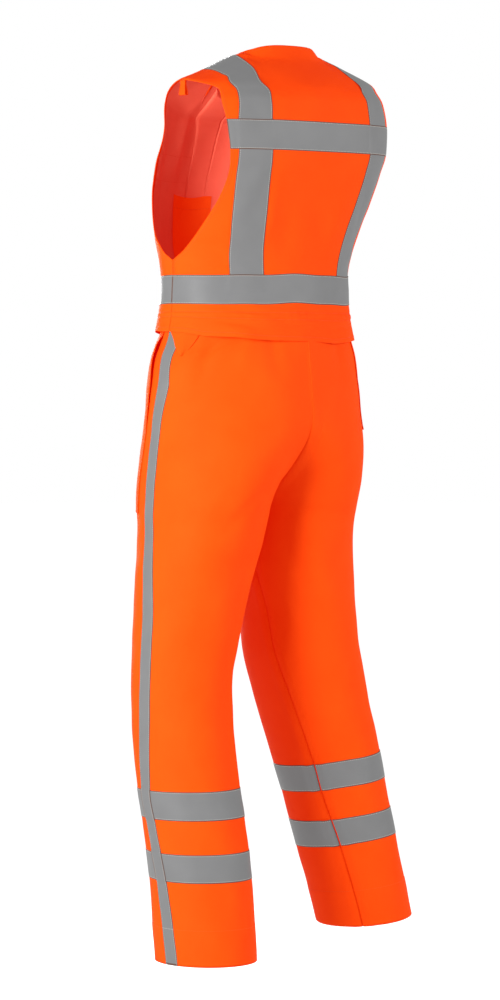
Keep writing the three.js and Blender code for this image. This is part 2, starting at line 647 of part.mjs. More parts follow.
// Front and back meet at the inseam, so its knots get one shared normal.
function shareInseam(rear, front, drops) {
  const last = LEG_COLUMNS + 1;
  drops.forEach((drop, i) => {
    if (drop > CROTCH_DROP) {
      const shared = rear[i][last].normal.clone().add(front[i][last].normal).normalize();
      rear[i][last].normal.copy(shared);
      front[i][last].normal.copy(shared);
    }
  });
}

function addSideTape(side, rear, front, drops) {
  const strip = drops.map((_, i) => [front[i][1], rear[i][0], rear[i][1]]);
  const piece = cut(strip, [drops.indexOf(SIDE_TAPE_TOP), drops.length - 1], [0, 2]);
  add(`side_tape_${side}`, wall(piece, SECOND_LAYER), 'tape');
}

// A leg band goes round the leg from the inseam, under the side tape, back to the inseam.
function addLegBand(name, rear, front, rows) {
  const ring = rear.map((row, i) => [...front[i].slice().reverse(), ...row.slice(1)]);
  add(name, wall(cut(ring, rows, [0, ring[0].length - 1]), FIRST_LAYER), 'tape');
}

// The side entry of a hip pocket stands off the trouser front along its upper half.
function addHipPocket(side, front, drops) {
  const rows = HIP_POCKET.drops.map((drop) => drops.indexOf(drop));
  const piece = cut(front, rows, HIP_POCKET.columns);
  const mouthRows = drops.indexOf(HIP_POCKET.mouthEnd) - rows[0] + 1;
  const fade = (step, steps) => Math.max(0, 1 - step / steps);
  const lift = (i, j) => HIP_POCKET.mouthLift * fade(i, mouthRows) * fade(j, MOUTH_COLUMNS);
  const height = (i, j) => FIRST_LAYER.map((level) => level + lift(i, j));
  add(`hip_pocket_${side}`, wall(piece, height));
}

// Cover of the fly, over the centre seam of the trouser fronts.
function addFly(left, right) {
  const rows = FLY.drops.map((drop) => HIP_DROPS.indexOf(drop));
  const last = LEG_COLUMNS + 1;
  const strip = left.map((row, i) => [row[last - 1], row[last], right[i][last - 1]]);
  add('fly_cover', wall(cut(strip, rows, [0, 2]), FIRST_LAYER));
}

addBack();
for (const side of ['left', 'right']) {
  addFront(side);
  addBrace(side);
  addShoulderLoop(side);
}
addPlacket();
addInnerPocket();
addFly(addTrousers('left'), addTrousers('right'));

export default garment;
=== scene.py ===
"""Sleeveless high-visibility bib overalls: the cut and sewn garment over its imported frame.

The tables and lengths are in millimetres and make_mesh turns them into Blender's metres. The
front faces -Y and the wearer's left is +X. Heights are drops below the shoulder line, and Y is
measured from SHOULDER_Y before it.
"""
import math
from functools import partial

import bmesh
import bpy
import numpy as np
from mathutils import Matrix, Vector


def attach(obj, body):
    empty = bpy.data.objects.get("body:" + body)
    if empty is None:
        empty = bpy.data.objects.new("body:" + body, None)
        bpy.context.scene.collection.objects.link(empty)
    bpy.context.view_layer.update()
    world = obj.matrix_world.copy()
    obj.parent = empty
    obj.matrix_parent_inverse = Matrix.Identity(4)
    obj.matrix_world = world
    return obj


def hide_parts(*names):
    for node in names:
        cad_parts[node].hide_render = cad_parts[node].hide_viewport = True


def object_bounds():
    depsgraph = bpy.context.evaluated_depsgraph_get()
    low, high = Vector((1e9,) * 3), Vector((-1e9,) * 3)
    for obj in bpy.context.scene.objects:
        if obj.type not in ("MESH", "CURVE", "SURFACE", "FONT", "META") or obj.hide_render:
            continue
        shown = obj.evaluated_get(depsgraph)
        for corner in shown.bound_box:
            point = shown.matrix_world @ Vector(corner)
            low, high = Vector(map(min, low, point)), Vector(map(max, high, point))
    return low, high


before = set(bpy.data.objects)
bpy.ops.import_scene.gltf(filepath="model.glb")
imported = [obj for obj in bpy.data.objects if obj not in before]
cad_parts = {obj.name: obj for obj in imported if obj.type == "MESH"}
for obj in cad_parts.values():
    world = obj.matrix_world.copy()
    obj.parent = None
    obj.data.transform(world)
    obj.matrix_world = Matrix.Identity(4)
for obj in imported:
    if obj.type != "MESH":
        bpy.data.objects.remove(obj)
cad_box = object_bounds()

MM = 0.001
SHOULDER_Y = 15
SHOULDER_LEAN = 0.025  # rise of the right shoulder by X, from LEAN_FROM up to LEAN_TO
LEAN_FROM, LEAN_TO = -130, -45
SIDE_TAPE_HALF = 14  # half the width of the tape down each side seam
PLACKET_HALF = 25  # half the width of the strip over the front opening
LEG_COLUMNS = 10  # columns of a trouser panel from the side tape to the inseam

TWILL = 1.1  # thickness of the twill
TAPE = 0.6  # thickness of the reflective tape
PANEL_STEP, TAPE_STEP = 5.0, 3.5  # spacing of the knots of a panel and of a tape
TAPE_LIFT = 1.0  # middle of a tape above the middle of its panel
TAPE_ON_TAPE = 0.9  # rise of a tape where it crosses another
POCKET_LIFT = 1.3  # middle of an outer pocket above the middle of its panel
TAPE_STITCHING = 2.2  # a tape's stitching, in from its edge
HEM_STITCHING = 1.6  # a hem's stitching, out from where the turned-in cloth ends


# ---- camera ----
DISTANCE = 6.2
BEARING = math.radians(42)  # from the garment's back towards its left
PITCH = math.radians(2.383)
AIM = Vector((0.0038, -0.0464, -0.5))

def make_camera():
    lens = bpy.data.cameras.new("portrait_lens")
    lens.sensor_width, lens.lens = 36, 129.8
    camera = bpy.data.objects.new("portrait_camera", lens)
    bpy.context.scene.collection.objects.link(camera)
    back = Vector((math.sin(BEARING), math.cos(BEARING), 0))
    camera.location = AIM + back * DISTANCE
    camera.rotation_euler = (math.pi / 2 - PITCH, 0, math.pi - BEARING)
    bpy.context.scene.camera = camera

make_camera()


# ---- the cut: rings and rows ----
def table(names, rows):
    return {name: np.array(column, float) for name, column in zip(names.split(), zip(*rows))}

# Rings of the trunk, from the free edge of the waist panel up to the neckline.
TRUNK = table(
    "level halfWidth sideY backY frontY backZ frontZ backSquare frontSquare",
    [
        (-476, 190, -28, 109, -149, -483, -481, 2.2, 2.1),
        (-423, 180, -28, 104, -144, -423, -428, 2.2, 2.1),
        (-398, 179, -27, 103, -144, -398, -404, 2.2, 2.1),
        (-373, 179, -26, 103, -146, -373, -380, 2.2, 2.1),
        (-349, 183, -23, 104, -151, -349, -356, 2.2, 2.1),
        (-313, 190, -18, 111, -160, -313, -320, 2.3, 2.1),
        (-244, 200, -7, 132, -157, -244, -251, 2.6, 2.2),
        (-196, 206, 0, 146, -149, -196, -203, 2.9, 2.2),
        (-168, 211, 5, 151, -139, -168, -175, 3.1, 2.2),
        (-118, 213, 9, 151, -124, -118, -134, 3.0, 2.1),
        (-80, 209, 12, 147, -115, -82, -115, 2.8, 2.1),
        (-60, 204, 14, 140, -112, -66, -106, 2.5, 2.1),
        (-44, 199, 16, 131, -105, -54, -99, 2.3, 2.0),
        (-33, 170, 16, 113, -94, -36, -92, 2.2, 2.0),
        (-22, 140, 15, 93, -84, -17, -85, 2.1, 2.0),
        (-11, 110, 14, 78, -74, -1, -78, 2.2, 2.0),
        (0, 80, 14, 64, -63, 20, -70, 3.2, 2.0),
    ],
)

# Rows of the back and the fronts. edgeReach is how far the armhole edge lies behind or before
# the side line, the other lines are distances from the middle, and rise runs from 0 at the yoke
# to 1 at the shoulder seam.
BACK_ROWS = table(
    "level edgeReach braceOuter braceInner neckSide rise",
    [
        (-476, 0, 135, 82, 68, 0),
        (-450, 0, 135, 82, 68, 0),
        (-423, 0, 135, 82, 68, 0),
        (-398, 0, 135, 82, 68, 0),
        (-373, 0, 136, 83, 69, 0),
        (-349, 0, 139, 85, 71, 0),
        (-335, 22, 141, 87, 73, 0),
        (-313, 44, 144, 90, 75, 0),
        (-280, 68, 150, 95, 79, 0),
        (-244, 89, 156, 101, 83, 0),
        (-206, 104, 162, 107, 87, 0),
        (-168, 109, 167, 111, 90, 0),
        (-143, 106, 168, 112, 91, 0),
        (-118, 101, 168, 112, 91, 0),
        (-88, 90, 164, 110, 89, 0),
        (-60, 74, 159, 107, 87, 0),
        (-53, 62, 157, 104, 85, 0.16),
        (-49, 48, 155, 101, 84, 0.36),
        (-46, 31, 154, 98, 82, 0.57),
        (-44.6, 14, 153, 96, 81, 0.79),
        (-44, 0, 152, 94, 80, 1),
    ],
)
FRONT_ROWS = table(
    "level edgeReach braceOuter braceInner neckSide facing rise",
    [
        (-476, 0, 137, 79, 63, 47, 0),
        (-450, 0, 137, 79, 63, 47, 0),
        (-423, 0, 137, 79, 63, 47, 0),
        (-398, 0, 137, 79, 63, 47, 0),
        (-373, 0, 137, 79, 63, 47, 0),
        (-349, 0, 137, 79, 63, 47, 0),
        (-337, 22, 137, 79, 63, 47, 0),
        (-321, 43, 137, 79, 63, 47, 0),
        (-303, 64, 137, 79, 63, 47, 0),
        (-263, 89, 137, 79, 63, 47, 0),
        (-225, 99, 138, 80, 64, 47, 0),
        (-207, 103, 139, 81, 65, 47, 0),
        (-182, 105, 140, 82, 66, 47, 0),
        (-158, 105, 141, 83, 67, 48, 0),
        (-128, 101, 143, 85, 69, 50, 0),
        (-100, 94, 145, 87, 72, 53, 0),
        (-75, 81, 147, 89, 75, 57, 0),
        (-60, 68, 148, 90, 77, 60, 0),
        (-50, 48, 150, 92, 78, 61, 0.3),
        (-46, 28, 151, 93, 79, 62, 0.58),
        (-44.3, 11, 152, 94, 80, 62, 0.82),
        (-44, 0, 152, 94, 80, 62, 1),
    ],
)
# Rows at which pieces start and end.
BACK = {"free": 0, "tape_low": 2, "seam": 3, "tape_top": 4, "chest_low": 11, "chest_top": 13,
        "yoke": 15, "top": 20}
FRONT = {"free": 0, "tape_low": 2, "seam": 3, "tape_top": 4, "chest_low": 11, "chest_top": 13,
         "pocket_top": 10, "pocket_low": 5, "yoke": 17, "top": 21}
# Lines of the trunk, counted from the middle outwards.
BACK_LINES = {"neck_side": 1, "brace_inner": 2, "brace_outer": 3, "edge": 4}
FRONT_LINES = {"placket": 1, "facing": 2, "neck_side": 3, "brace_inner": 4, "brace_outer": 5,
               "edge": 6}

# Rings of the trousers. Down to the crotch a ring runs from the side seam to the centre seam and
# wrapBack and wrapFront say how far it curls round; below it innerX is the inner side of a leg.
HIP_RINGS = [
    (438, 179, 0, -28, 128, 112, -438, -443, 90, 90, 2, 0, 0),
    (462, 181, 0, -28, 130, 114, -462, -466, 90, 90, 2, 0, 0),
    (484, 186, 0, -28, 135, 120, -486, -487, 90, 90, 2, 0, 0),
    (515, 196, 0, -28, 140, 130, -515, -516, 90, 90, 0, 0, 0),
    (560, 205, 0, -28, 146, 137, -558, -560, 90, 90, 1, 0, 0),
    (610, 209, 0, -29, 151, 137, -602, -606, 92, 91, -3, 0, 0),
    (650, 209, 0, -31, 151, 136, -640, -642, 107, 103, -5, 0, 0),
    (690, 208, 0, -34, 146, 134, -678, -682, 125, 120, -7, 0, 0),
    (725, 206, 0, -37, 140, 133, -710, -714, 141, 138, -9, 0, 0),
    (755, 204, 0, -40, 133, 132, -736, -740, 155, 154, -10, 0, 0),
    (780, 203, 0, -42, 127, 129, -756, -758, 168, 168, -11, 0, 0),
    (800, 203, 0, -43, 122, 126, -768, -768, 180, 180, -11, 0, 0),
]
RING_NAMES = ("drop outX innerX midY backDepth frontDepth backZ frontZ wrapBack wrapFront "
              "sideTurn inseamTurn backRise")
LEGS = {
    "left": table(RING_NAMES, HIP_RINGS + [
        (835, 210, 11, -43, 112, 114, -822, -822, 180, 180, -8, 0, 0),
        (870, 219, 20, -43, 101, 103, -866, -866, 180, 180, -4, 0, 0),
        (940, 225, 40, -43, 95, 97, -940, -940, 180, 180, 0, 0, 0),
        (1075, 229, 61, -48, 88, 88, -1075, -1075, 180, 180, 0, 0, 0),
        (1242, 224, 55, -40, 92, 86, -1242, -1242, 180, 180, -6, 0, 0),
        (1291, 220, 52, -32, 92, 88, -1291, -1291, 180, 180, -7, 0, 0),
        (1347, 218, 50, -22, 92, 92, -1347, -1347, 180, 180, -5, 0, 0),
        (1395, 215, 49, -16, 92, 92, -1395, -1395, 180, 180, -3, 0, 0),
        (1500, 212, 48, -8, 91, 91, -1500, -1500, 180, 180, 3, 0, 0),
        (1536, 211, 47, -5, 90, 90, -1536, -1536, 180, 180, 4, 0, 0),
    ]),
    "right": table(RING_NAMES, HIP_RINGS + [
        (835, 208, 8, -46, 114, 118, -822, -822, 180, 180, -8, 2, 0),
        (868, 215, 14, -50, 110, 112, -868, -868, 180, 180, -5, 5, 0),
        (940, 226, 34, -57, 110, 111, -946, -946, 180, 180, -2, 12, 0),
        (1015, 239, 46, -60, 112, 110, -1025, -1025, 180, 180, 0, 17, 3),
        (1110, 260, 80, -59, 108, 108, -1124, -1124, 180, 180, 0, 23, 6),
        (1207, 282, 112, -53, 103, 103, -1227, -1227, 180, 180, 0, 28, 8),
        (1254, 290, 124, -48, 99, 99, -1274, -1274, 180, 180, 0, 29, 8),
        (1306, 300, 137, -43, 96, 96, -1326, -1326, 180, 180, 0, 33, 8),
        (1353, 310, 148, -38, 93, 93, -1373, -1373, 180, 180, 0, 37, 8),
        (1450, 333, 168, -26, 88, 88, -1466, -1466, 180, 180, 0, 42, 4),
        (1496, 342, 177, -22, 87, 87, -1512, -1512, 180, 180, 0, 44, 0),
    ]),
}
HEM_DROP = {"left": 1536, "right": 1496}
LEG_BANDS = {
    "left": {"upper": (1242, 1291), "lower": (1347, 1395)},
    "right": {"upper": (1207, 1254), "lower": (1306, 1353)},
}
WAIST_DROP, TAPE_START_DROP = 438, 462
HEM_DEPTH = 63  # height of the turned-up trouser hem


# ---- reading the cut ----
def read(rows, key, at, name):
    """Smooth curve through a column of a table whose key column rises."""
    keys, values = rows[key], rows[name]
    at = np.asarray(at, float)
    low = np.clip(np.searchsorted(keys, at) - 1, 0, len(keys) - 2)
    before, after = np.maximum(low - 1, 0), np.minimum(low + 2, len(keys) - 1)
    span = keys[low + 1] - keys[low]
    t = np.clip((at - keys[low]) / span, 0, 1)
    rise = values[low + 1] - values[low]
    start = (values[low + 1] - values[before]) / (keys[low + 1] - keys[before]) * span
    end = (values[after] - values[low]) / (keys[after] - keys[low]) * span
    return values[low] + rise * t + t * (1 - t) * ((start - rise) * (1 - t) + (rise - end) * t)

def mix(a, b, t):
    return a + (b - a) * t

def signed_power(value, power):
    return np.sign(value) * np.abs(value) ** power

def smooth(low, high, at):
    t = np.clip((at - low) / (high - low), 0, 1)
    return t * t * (3 - 2 * t)

def trunk_point(level, angle):
    """A point of the left half: angle 0 at the side, a quarter turn at the centre back."""
    at = partial(read, TRUNK, "level", level)
    behind = np.sin(angle) >= 0
    power = 2 / np.where(behind, at("backSquare"), at("frontSquare"))
    reach = np.abs(np.sin(angle)) ** power
    y = mix(at("sideY"), np.where(behind, at("backY"), at("frontY")), reach)
    depth = np.where(behind, reach, reach ** 1.4)
    z = mix(level, np.where(behind, at("backZ"), at("frontZ")), depth)
    return np.stack([at("halfWidth") * signed_power(np.cos(angle), power), y, z], -1)

def angle_at_x(level, x, square):
    share = min(x / float(read(TRUNK, "level", level, "halfWidth")), 1)
    return math.acos(share ** (float(read(TRUNK, "level", level, square)) / 2))

def angle_at_reach(level, reach, behind):
    depth = abs(float(read(TRUNK, "level", level, "backY" if behind else "frontY")
                      - read(TRUNK, "level", level, "sideY")))
    square = float(read(TRUNK, "level", level, "backSquare" if behind else "frontSquare"))
    return math.asin(min(reach / depth, 1) ** (square / 2))

def level_at_x(x, angle, square, lowest):
    """The level above the yoke where the ring at this angle is x wide."""
    low, high = lowest, 0
    for _ in range(30):
        middle = (low + high) / 2
        power = 2 / float(read(TRUNK, "level", middle, square))
        width = float(read(TRUNK, "level", middle, "halfWidth")) * math.cos(angle) ** power
        low, high = (middle, high) if width > x else (low, middle)
    return (low + high) / 2

def cut_corners(rows, yoke, behind):
    """Level and angle at which each line of the cut crosses each row, as [row][line]."""
    square = "backSquare" if behind else "frontSquare"
    names = (["neckSide"] if behind else ["facing", "neckSide"]) + ["braceInner", "braceOuter"]
    corners = []
    for i, rise in enumerate(rows["rise"]):
        level = rows["level"][i]
        middle = level if rise == 0 else mix(rows["level"][yoke], 0, rise)
        line = [(middle, math.pi / 2)]
        if not behind:
            line.append((middle, angle_at_x(middle, PLACKET_HALF, square)))
        for name in names:
            if rise == 0 or name == "facing":
                line.append((middle, angle_at_x(middle, rows[name][i], square)))
            else:
                angle = angle_at_x(rows["level"][yoke], rows[name][yoke], square) * (1 - rise)
                line.append((level_at_x(rows[name][i], angle, square, rows["level"][yoke]), angle))
        line.append((level, angle_at_reach(level, rows["edgeReach"][i], behind)))
        corners.append(line)
    return np.array(corners)

LINE_PLACES = 301  # places at which each line of the cut is drawn

def trunk_lines(rows, yoke, behind):
    """The cut's lines, counted from the middle outwards: the level and angle of each at close
    places along the running length, and run, the running length at each row."""
    corners = cut_corners(rows, yoke, behind)
    sense = 1 if behind else -1
    outer = trunk_point(corners[:, -2, 0], sense * corners[:, -2, 1])
    run = running_length(outer)
    lines = {"run": run, "at": np.linspace(0, run[-1], LINE_PLACES), "count": corners.shape[1]}
    for k in range(lines["count"]):
        rough = {"run": run, "level": corners[:, k, 0], "angle": sense * corners[:, k, 1]}
        for name in ("level", "angle"):
            lines[f"{name}{k}"] = read(rough, "run", lines["at"], name)
    return lines

def running_length(line):
    return np.pad(np.cumsum(np.linalg.norm(np.diff(line, axis=0), axis=1)), (1, 0))

BACK_CUT = trunk_lines(BACK_ROWS, BACK["yoke"], True)
FRONT_CUT = trunk_lines(FRONT_ROWS, FRONT["yoke"], False)

NECK_SAG, SAG_DEPTH = 6, 75  # the middle of the back neckline hangs a little
NECK_CORNER = float(BACK_ROWS["neckSide"][-1])
CORNER_SAG, CORNER_REACH = 4.5, 13  # the cloth sinks round the corners of the neck

def trunk_surface(cut):
    """surface(across, up): across counts the cut's lines from the middle, minus to the right,
    and up is the running length."""
    def surface(across, up):
        across, up = np.broadcast_arrays(np.asarray(across, float), np.asarray(up, float))
        reach = np.clip(np.abs(across), 0, cut["count"] - 1)
        level, angle = np.zeros(reach.shape), np.zeros(reach.shape)
        for k in range(cut["count"]):
            weight = np.clip(1 - np.abs(reach - k), 0, 1)
            level += weight * read(cut, "at", up, f"level{k}")
            angle += weight * read(cut, "at", up, f"angle{k}")
        point = trunk_point(level, angle)
        corner = np.exp(-((point[..., 0] - NECK_CORNER) / CORNER_REACH) ** 2)
        point[..., 2] -= CORNER_SAG * corner * smooth(-34, -4, point[..., 2])
        point[..., 0] *= np.where(across < 0, -1, 1)
        if cut is BACK_CUT:
            neck = 1 - smooth(0.4, 1, np.abs(across))
            point[..., 2] -= NECK_SAG * neck * smooth(-SAG_DEPTH, 0, up - cut["run"][-1])
        return point
    return surface

def leg_angle(leg, across, drop):
    """The turn round a leg: across 0 is the side seam, 1 the edge of its tape, 11 the inseam,
    minus to the front."""
    at = partial(read, leg, "drop", drop)
    sense = np.where(across < 0, -1, 1)
    wrap = np.radians(np.where(sense > 0, at("wrapBack"), at("wrapFront")))
    start, turn = np.radians(at("sideTurn")), np.radians(at("inseamTurn"))
    depth = np.where(sense > 0, at("backDepth"), at("frontDepth"))
    tape = start + sense * SIDE_TAPE_HALF / depth
    share = (np.abs(across) - 1) / LEG_COLUMNS
    return np.where(share < 0, mix(start, tape, np.abs(across)),
                    mix(tape, sense * wrap - turn, share))

def leg_surface(side):
    leg = LEGS[side]
    def surface(across, drop):
        across, drop = np.broadcast_arrays(np.asarray(across, float), np.asarray(drop, float))
        at = partial(read, leg, "drop", drop)
        angle = leg_angle(leg, across, drop)
        behind = np.sin(angle) >= 0
        wrap = np.radians(np.where(behind, at("wrapBack"), at("wrapFront")))
        depth = np.where(behind, at("backDepth"), at("frontDepth"))
        half_width = (at("outX") - at("innerX")) / (1 - np.cos(wrap))
        x = at("outX") - half_width * (1 - np.cos(angle))
        y = at("midY") + depth * np.sin(angle)
        share = (1 - np.cos(angle)) / (1 - np.cos(wrap))
        z = mix(-drop, np.where(behind, at("backZ"), at("frontZ")), share)
        z = z + at("backRise") * np.sin(angle)
        return np.stack([x if side == "left" else -x, y, z], -1)
    return surface


# ---- how the cloth lies: folds, ripples and sewn edges, as heights above the cut's surface ----
# A fold is a ridge or a trough (negative height) from one place to another. On the legs places
# are drops and angles, on the trunk they are X and height.
LEG_FOLD = "fromDrop fromAngle toDrop toAngle height width"
LEG_FOLDS = {
    "left": table(LEG_FOLD, [
        (440, 34, 575, 26, -3.5, 5),
        (452, 50, 530, 22, -4.5, 5),
        (440, 58, 548, 50, 3.0, 5),
        (440, 66, 556, 72, -3.4, 5),
        (440, 84, 540, 92, 2.4, 6),
        (440, 110, 560, 118, -2.6, 7),
        (500, 42, 590, 22, -4, 13),
        (495, 20, 560, 14, 5, 12),
        (760, 140, 960, 118, 4, 18),
        (800, 75, 1120, 60, -3, 20),
        (1180, 128, 1420, 112, 4, 16),
        (1290, 60, 1500, 78, -3, 16),
        (900, -60, 1200, -80, 4, 20),
        (700, 60, 860, 30, 1.6, 9),
        (730, 100, 830, 60, -1.8, 9),
        (1120, 40, 1260, 75, 1.2, 9),
        (1180, -30, 1330, -60, -1.5, 10),
        (1400, 120, 1520, 100, 1.5, 9),
        (620, -40, 760, -70, -2.0, 10),
        (980, 150, 1130, 120, -1.6, 10),
    ]),
    "right": table(LEG_FOLD, [
        (440, 40, 552, 34, 2.6, 5),
        (440, 60, 560, 66, -3.0, 5),
        (440, 86, 545, 94, 2.6, 6),
        (440, 116, 566, 122, -2.4, 7),
        (440, -40, 560, -36, -2.4, 6),
        (745, 128, 960, 100, 5, 18),
        (800, 62, 1150, 40, -3, 20),
        (1120, 100, 1300, 128, -4, 16),
        (1290, 62, 1460, 84, 4, 18),
        (880, -66, 1180, -88, 4, 20),
        (800, 150, 930, 118, -2.2, 10),
        (860, 160, 1000, 135, 2.0, 8),
        (1010, 40, 1160, 70, 1.4, 9),
        (1180, 20, 1340, 45, -1.4, 9),
        (1360, 130, 1480, 110, 1.8, 9),
        (620, -35, 770, -65, -2.0, 10),
        (1200, -40, 1360, -70, 1.6, 10),
    ]),
}
TRUNK_FOLD = "fromX fromZ toX toZ height width"
TRUNK_FOLDS = {
    "back": table(TRUNK_FOLD, [
        (200, -330, 176, -480, 5, 36),
        (178, -433, 60, -450, 2.4, 5),
        (176, -449, 90, -462, -2.0, 6),
        (120, -431, -10, -440, 1.8, 5),
        (60, -444, -40, -456, 1.5, 5),
        (-20, -436, -150, -446, 2.0, 5),
        (-50, -460, -165, -455, -1.8, 5),
        (172, -342, 96, -368, 2.4, 9),
        (178, -312, 132, -352, -2.4, 9),
        (184, -366, 140, -384, 1.8, 7),
        (-150, -330, -90, -362, 1.4, 10),
        (60, -230, 40, -360, -2.6, 22),
        (-70, -210, -50, -350, 2.4, 24),
        (120, -170, 150, -310, 2.0, 14),
        (10, -40, 4, -115, 1.6, 26),
        (150, -60, 128, -150, -1.8, 14),
        (-140, -60, -120, -150, -1.8, 14),
        (90, -215, 84, -330, 1.6, 12),
        (-120, -200, -136, -330, -2.0, 14),
        (-20, -60, -30, -110, -0.8, 20),
    ]),
    "front": table(TRUNK_FOLD, [
        (200, -330, 176, -480, 5, 36),
        (170, -430, 110, -442, 1.3, 6),
        (-160, -434, -100, -450, -1.2, 6),
        (120, -320, 90, -370, 2.4, 12),
        (150, -290, 125, -360, -2.8, 9),
        (132, -260, 118, -350, 2.6, 7),
        (-125, -320, -95, -372, 2.0, 12),
        (84, -70, 92, -235, -4.2, 13),
        (66, -40, 62, -250, 3.6, 12),
        (112, -90, 124, -300, 3.4, 12),
        (138, -110, 146, -250, -2.6, 11),
        (-60, -190, -75, -310, 2.2, 22),
        (-84, -80, -92, -230, -3.2, 14),
        (-120, -110, -112, -240, 2.4, 15),
    ]),
}

def rows_of(folds, names):
    return zip(*(folds[name] for name in names.split()))

def leg_fold_height(folds, drop, angle):
    height = np.zeros(np.broadcast(drop, angle).shape)
    for start, start_angle, end, end_angle, rise, width in rows_of(folds, LEG_FOLD):
        share = np.clip((drop - start) / (end - start), 0, 1)
        off = (np.degrees(angle) - mix(start_angle, end_angle, share)) / width
        height += rise * np.sin(np.pi * share) * np.exp(-off * off)
    return height

def trunk_fold_height(folds, base):
    height = np.zeros(base.shape[:-1])
    for x0, z0, x1, z1, rise, width in rows_of(folds, TRUNK_FOLD):
        length = math.hypot(x1 - x0, z1 - z0)
        dx, dz = (x1 - x0) / length, (z1 - z0) / length
        along = (base[..., 0] - x0) * dx + (base[..., 2] - z0) * dz
        off = ((base[..., 2] - z0) * dx - (base[..., 0] - x0) * dz) / width
        share = np.clip(along / length, 0, 1)
        height += rise * np.sin(np.pi * share) * np.exp(-off * off)
    return height

RIPPLES = [  # wavelength, height and direction
    (210, 0.8, (1, 0.3, 0.5)), (140, 0.5, (-0.6, 0.8, 0.7)), (95, 0.35, (0.9, -0.5, -0.3)),
    (64, 0.2, (0.4, 0.7, -0.9)), (41, 0.1, (-0.8, 0.3, 1.0)), (27, 0.06, (0.6, -1.0, 0.4)),
]

def ripple_height(points):
    height = np.zeros(points.shape[:-1])
    for i, (wavelength, rise, direction) in enumerate(RIPPLES):
        along = points @ (np.array(direction) / np.linalg.norm(direction))
        height += rise * np.sin(2 * np.pi * along / wavelength + 1.7 * i)
    return height

def distance_to(points, line):
    """Distance of each knot from a line of points."""
    flat = points.reshape(-1, 3)
    nearest = np.full(len(flat), 1e9)
    for start, end in zip(line[:-1], line[1:]):
        span = end - start
        length = span @ span
        if length > 1e-6:
            share = np.clip((flat - start) @ span / length, 0, 1)
            gap = np.linalg.norm(flat - start - share[:, None] * span, axis=1)
            nearest = np.minimum(nearest, gap)
    return nearest.reshape(points.shape[:-1])

def hemmed(distance, depth):
    """Turned-in edge: double cloth up to its stitching, which pulls it down a little."""
    stitching = (distance - depth + HEM_STITCHING) / 1.1
    return 0.45 * (1 - smooth(depth - 0.8, depth + 0.8, distance)) - 0.3 * np.exp(-stitching ** 2)

def seamed(distance, depth):
    """Edge that dips into a seam, with the allowances under it as a low ridge."""
    return 0.35 * (1 - smooth(7, 10, distance)) - depth * np.exp(-(distance / 1.6) ** 2)

def creased(distance, depth):
    """Seam with the cloth bulging beside it."""
    return seamed(distance, depth) + 1.6 * np.exp(-((distance - 13) / 7) ** 2)

def taped(distance):
    """Edge of a tape, held down by its stitching."""
    return -0.22 * np.exp(-(distance - TAPE_STITCHING) ** 2)

def edge_height(base, edges):
    border = {"first": base[:, 0], "last": base[:, -1], "low": base[0], "high": base[-1]}
    height = np.zeros(base.shape[:-1])
    for name, (kind, depth) in edges.items():
        distance = distance_to(base, border[name])
        if kind == "hem":
            height += hemmed(distance, depth)
        elif kind == "seam":
            height += seamed(distance, depth)
        elif kind == "crease":
            height += creased(distance, depth)
        else:
            height += taped(distance)
    return height


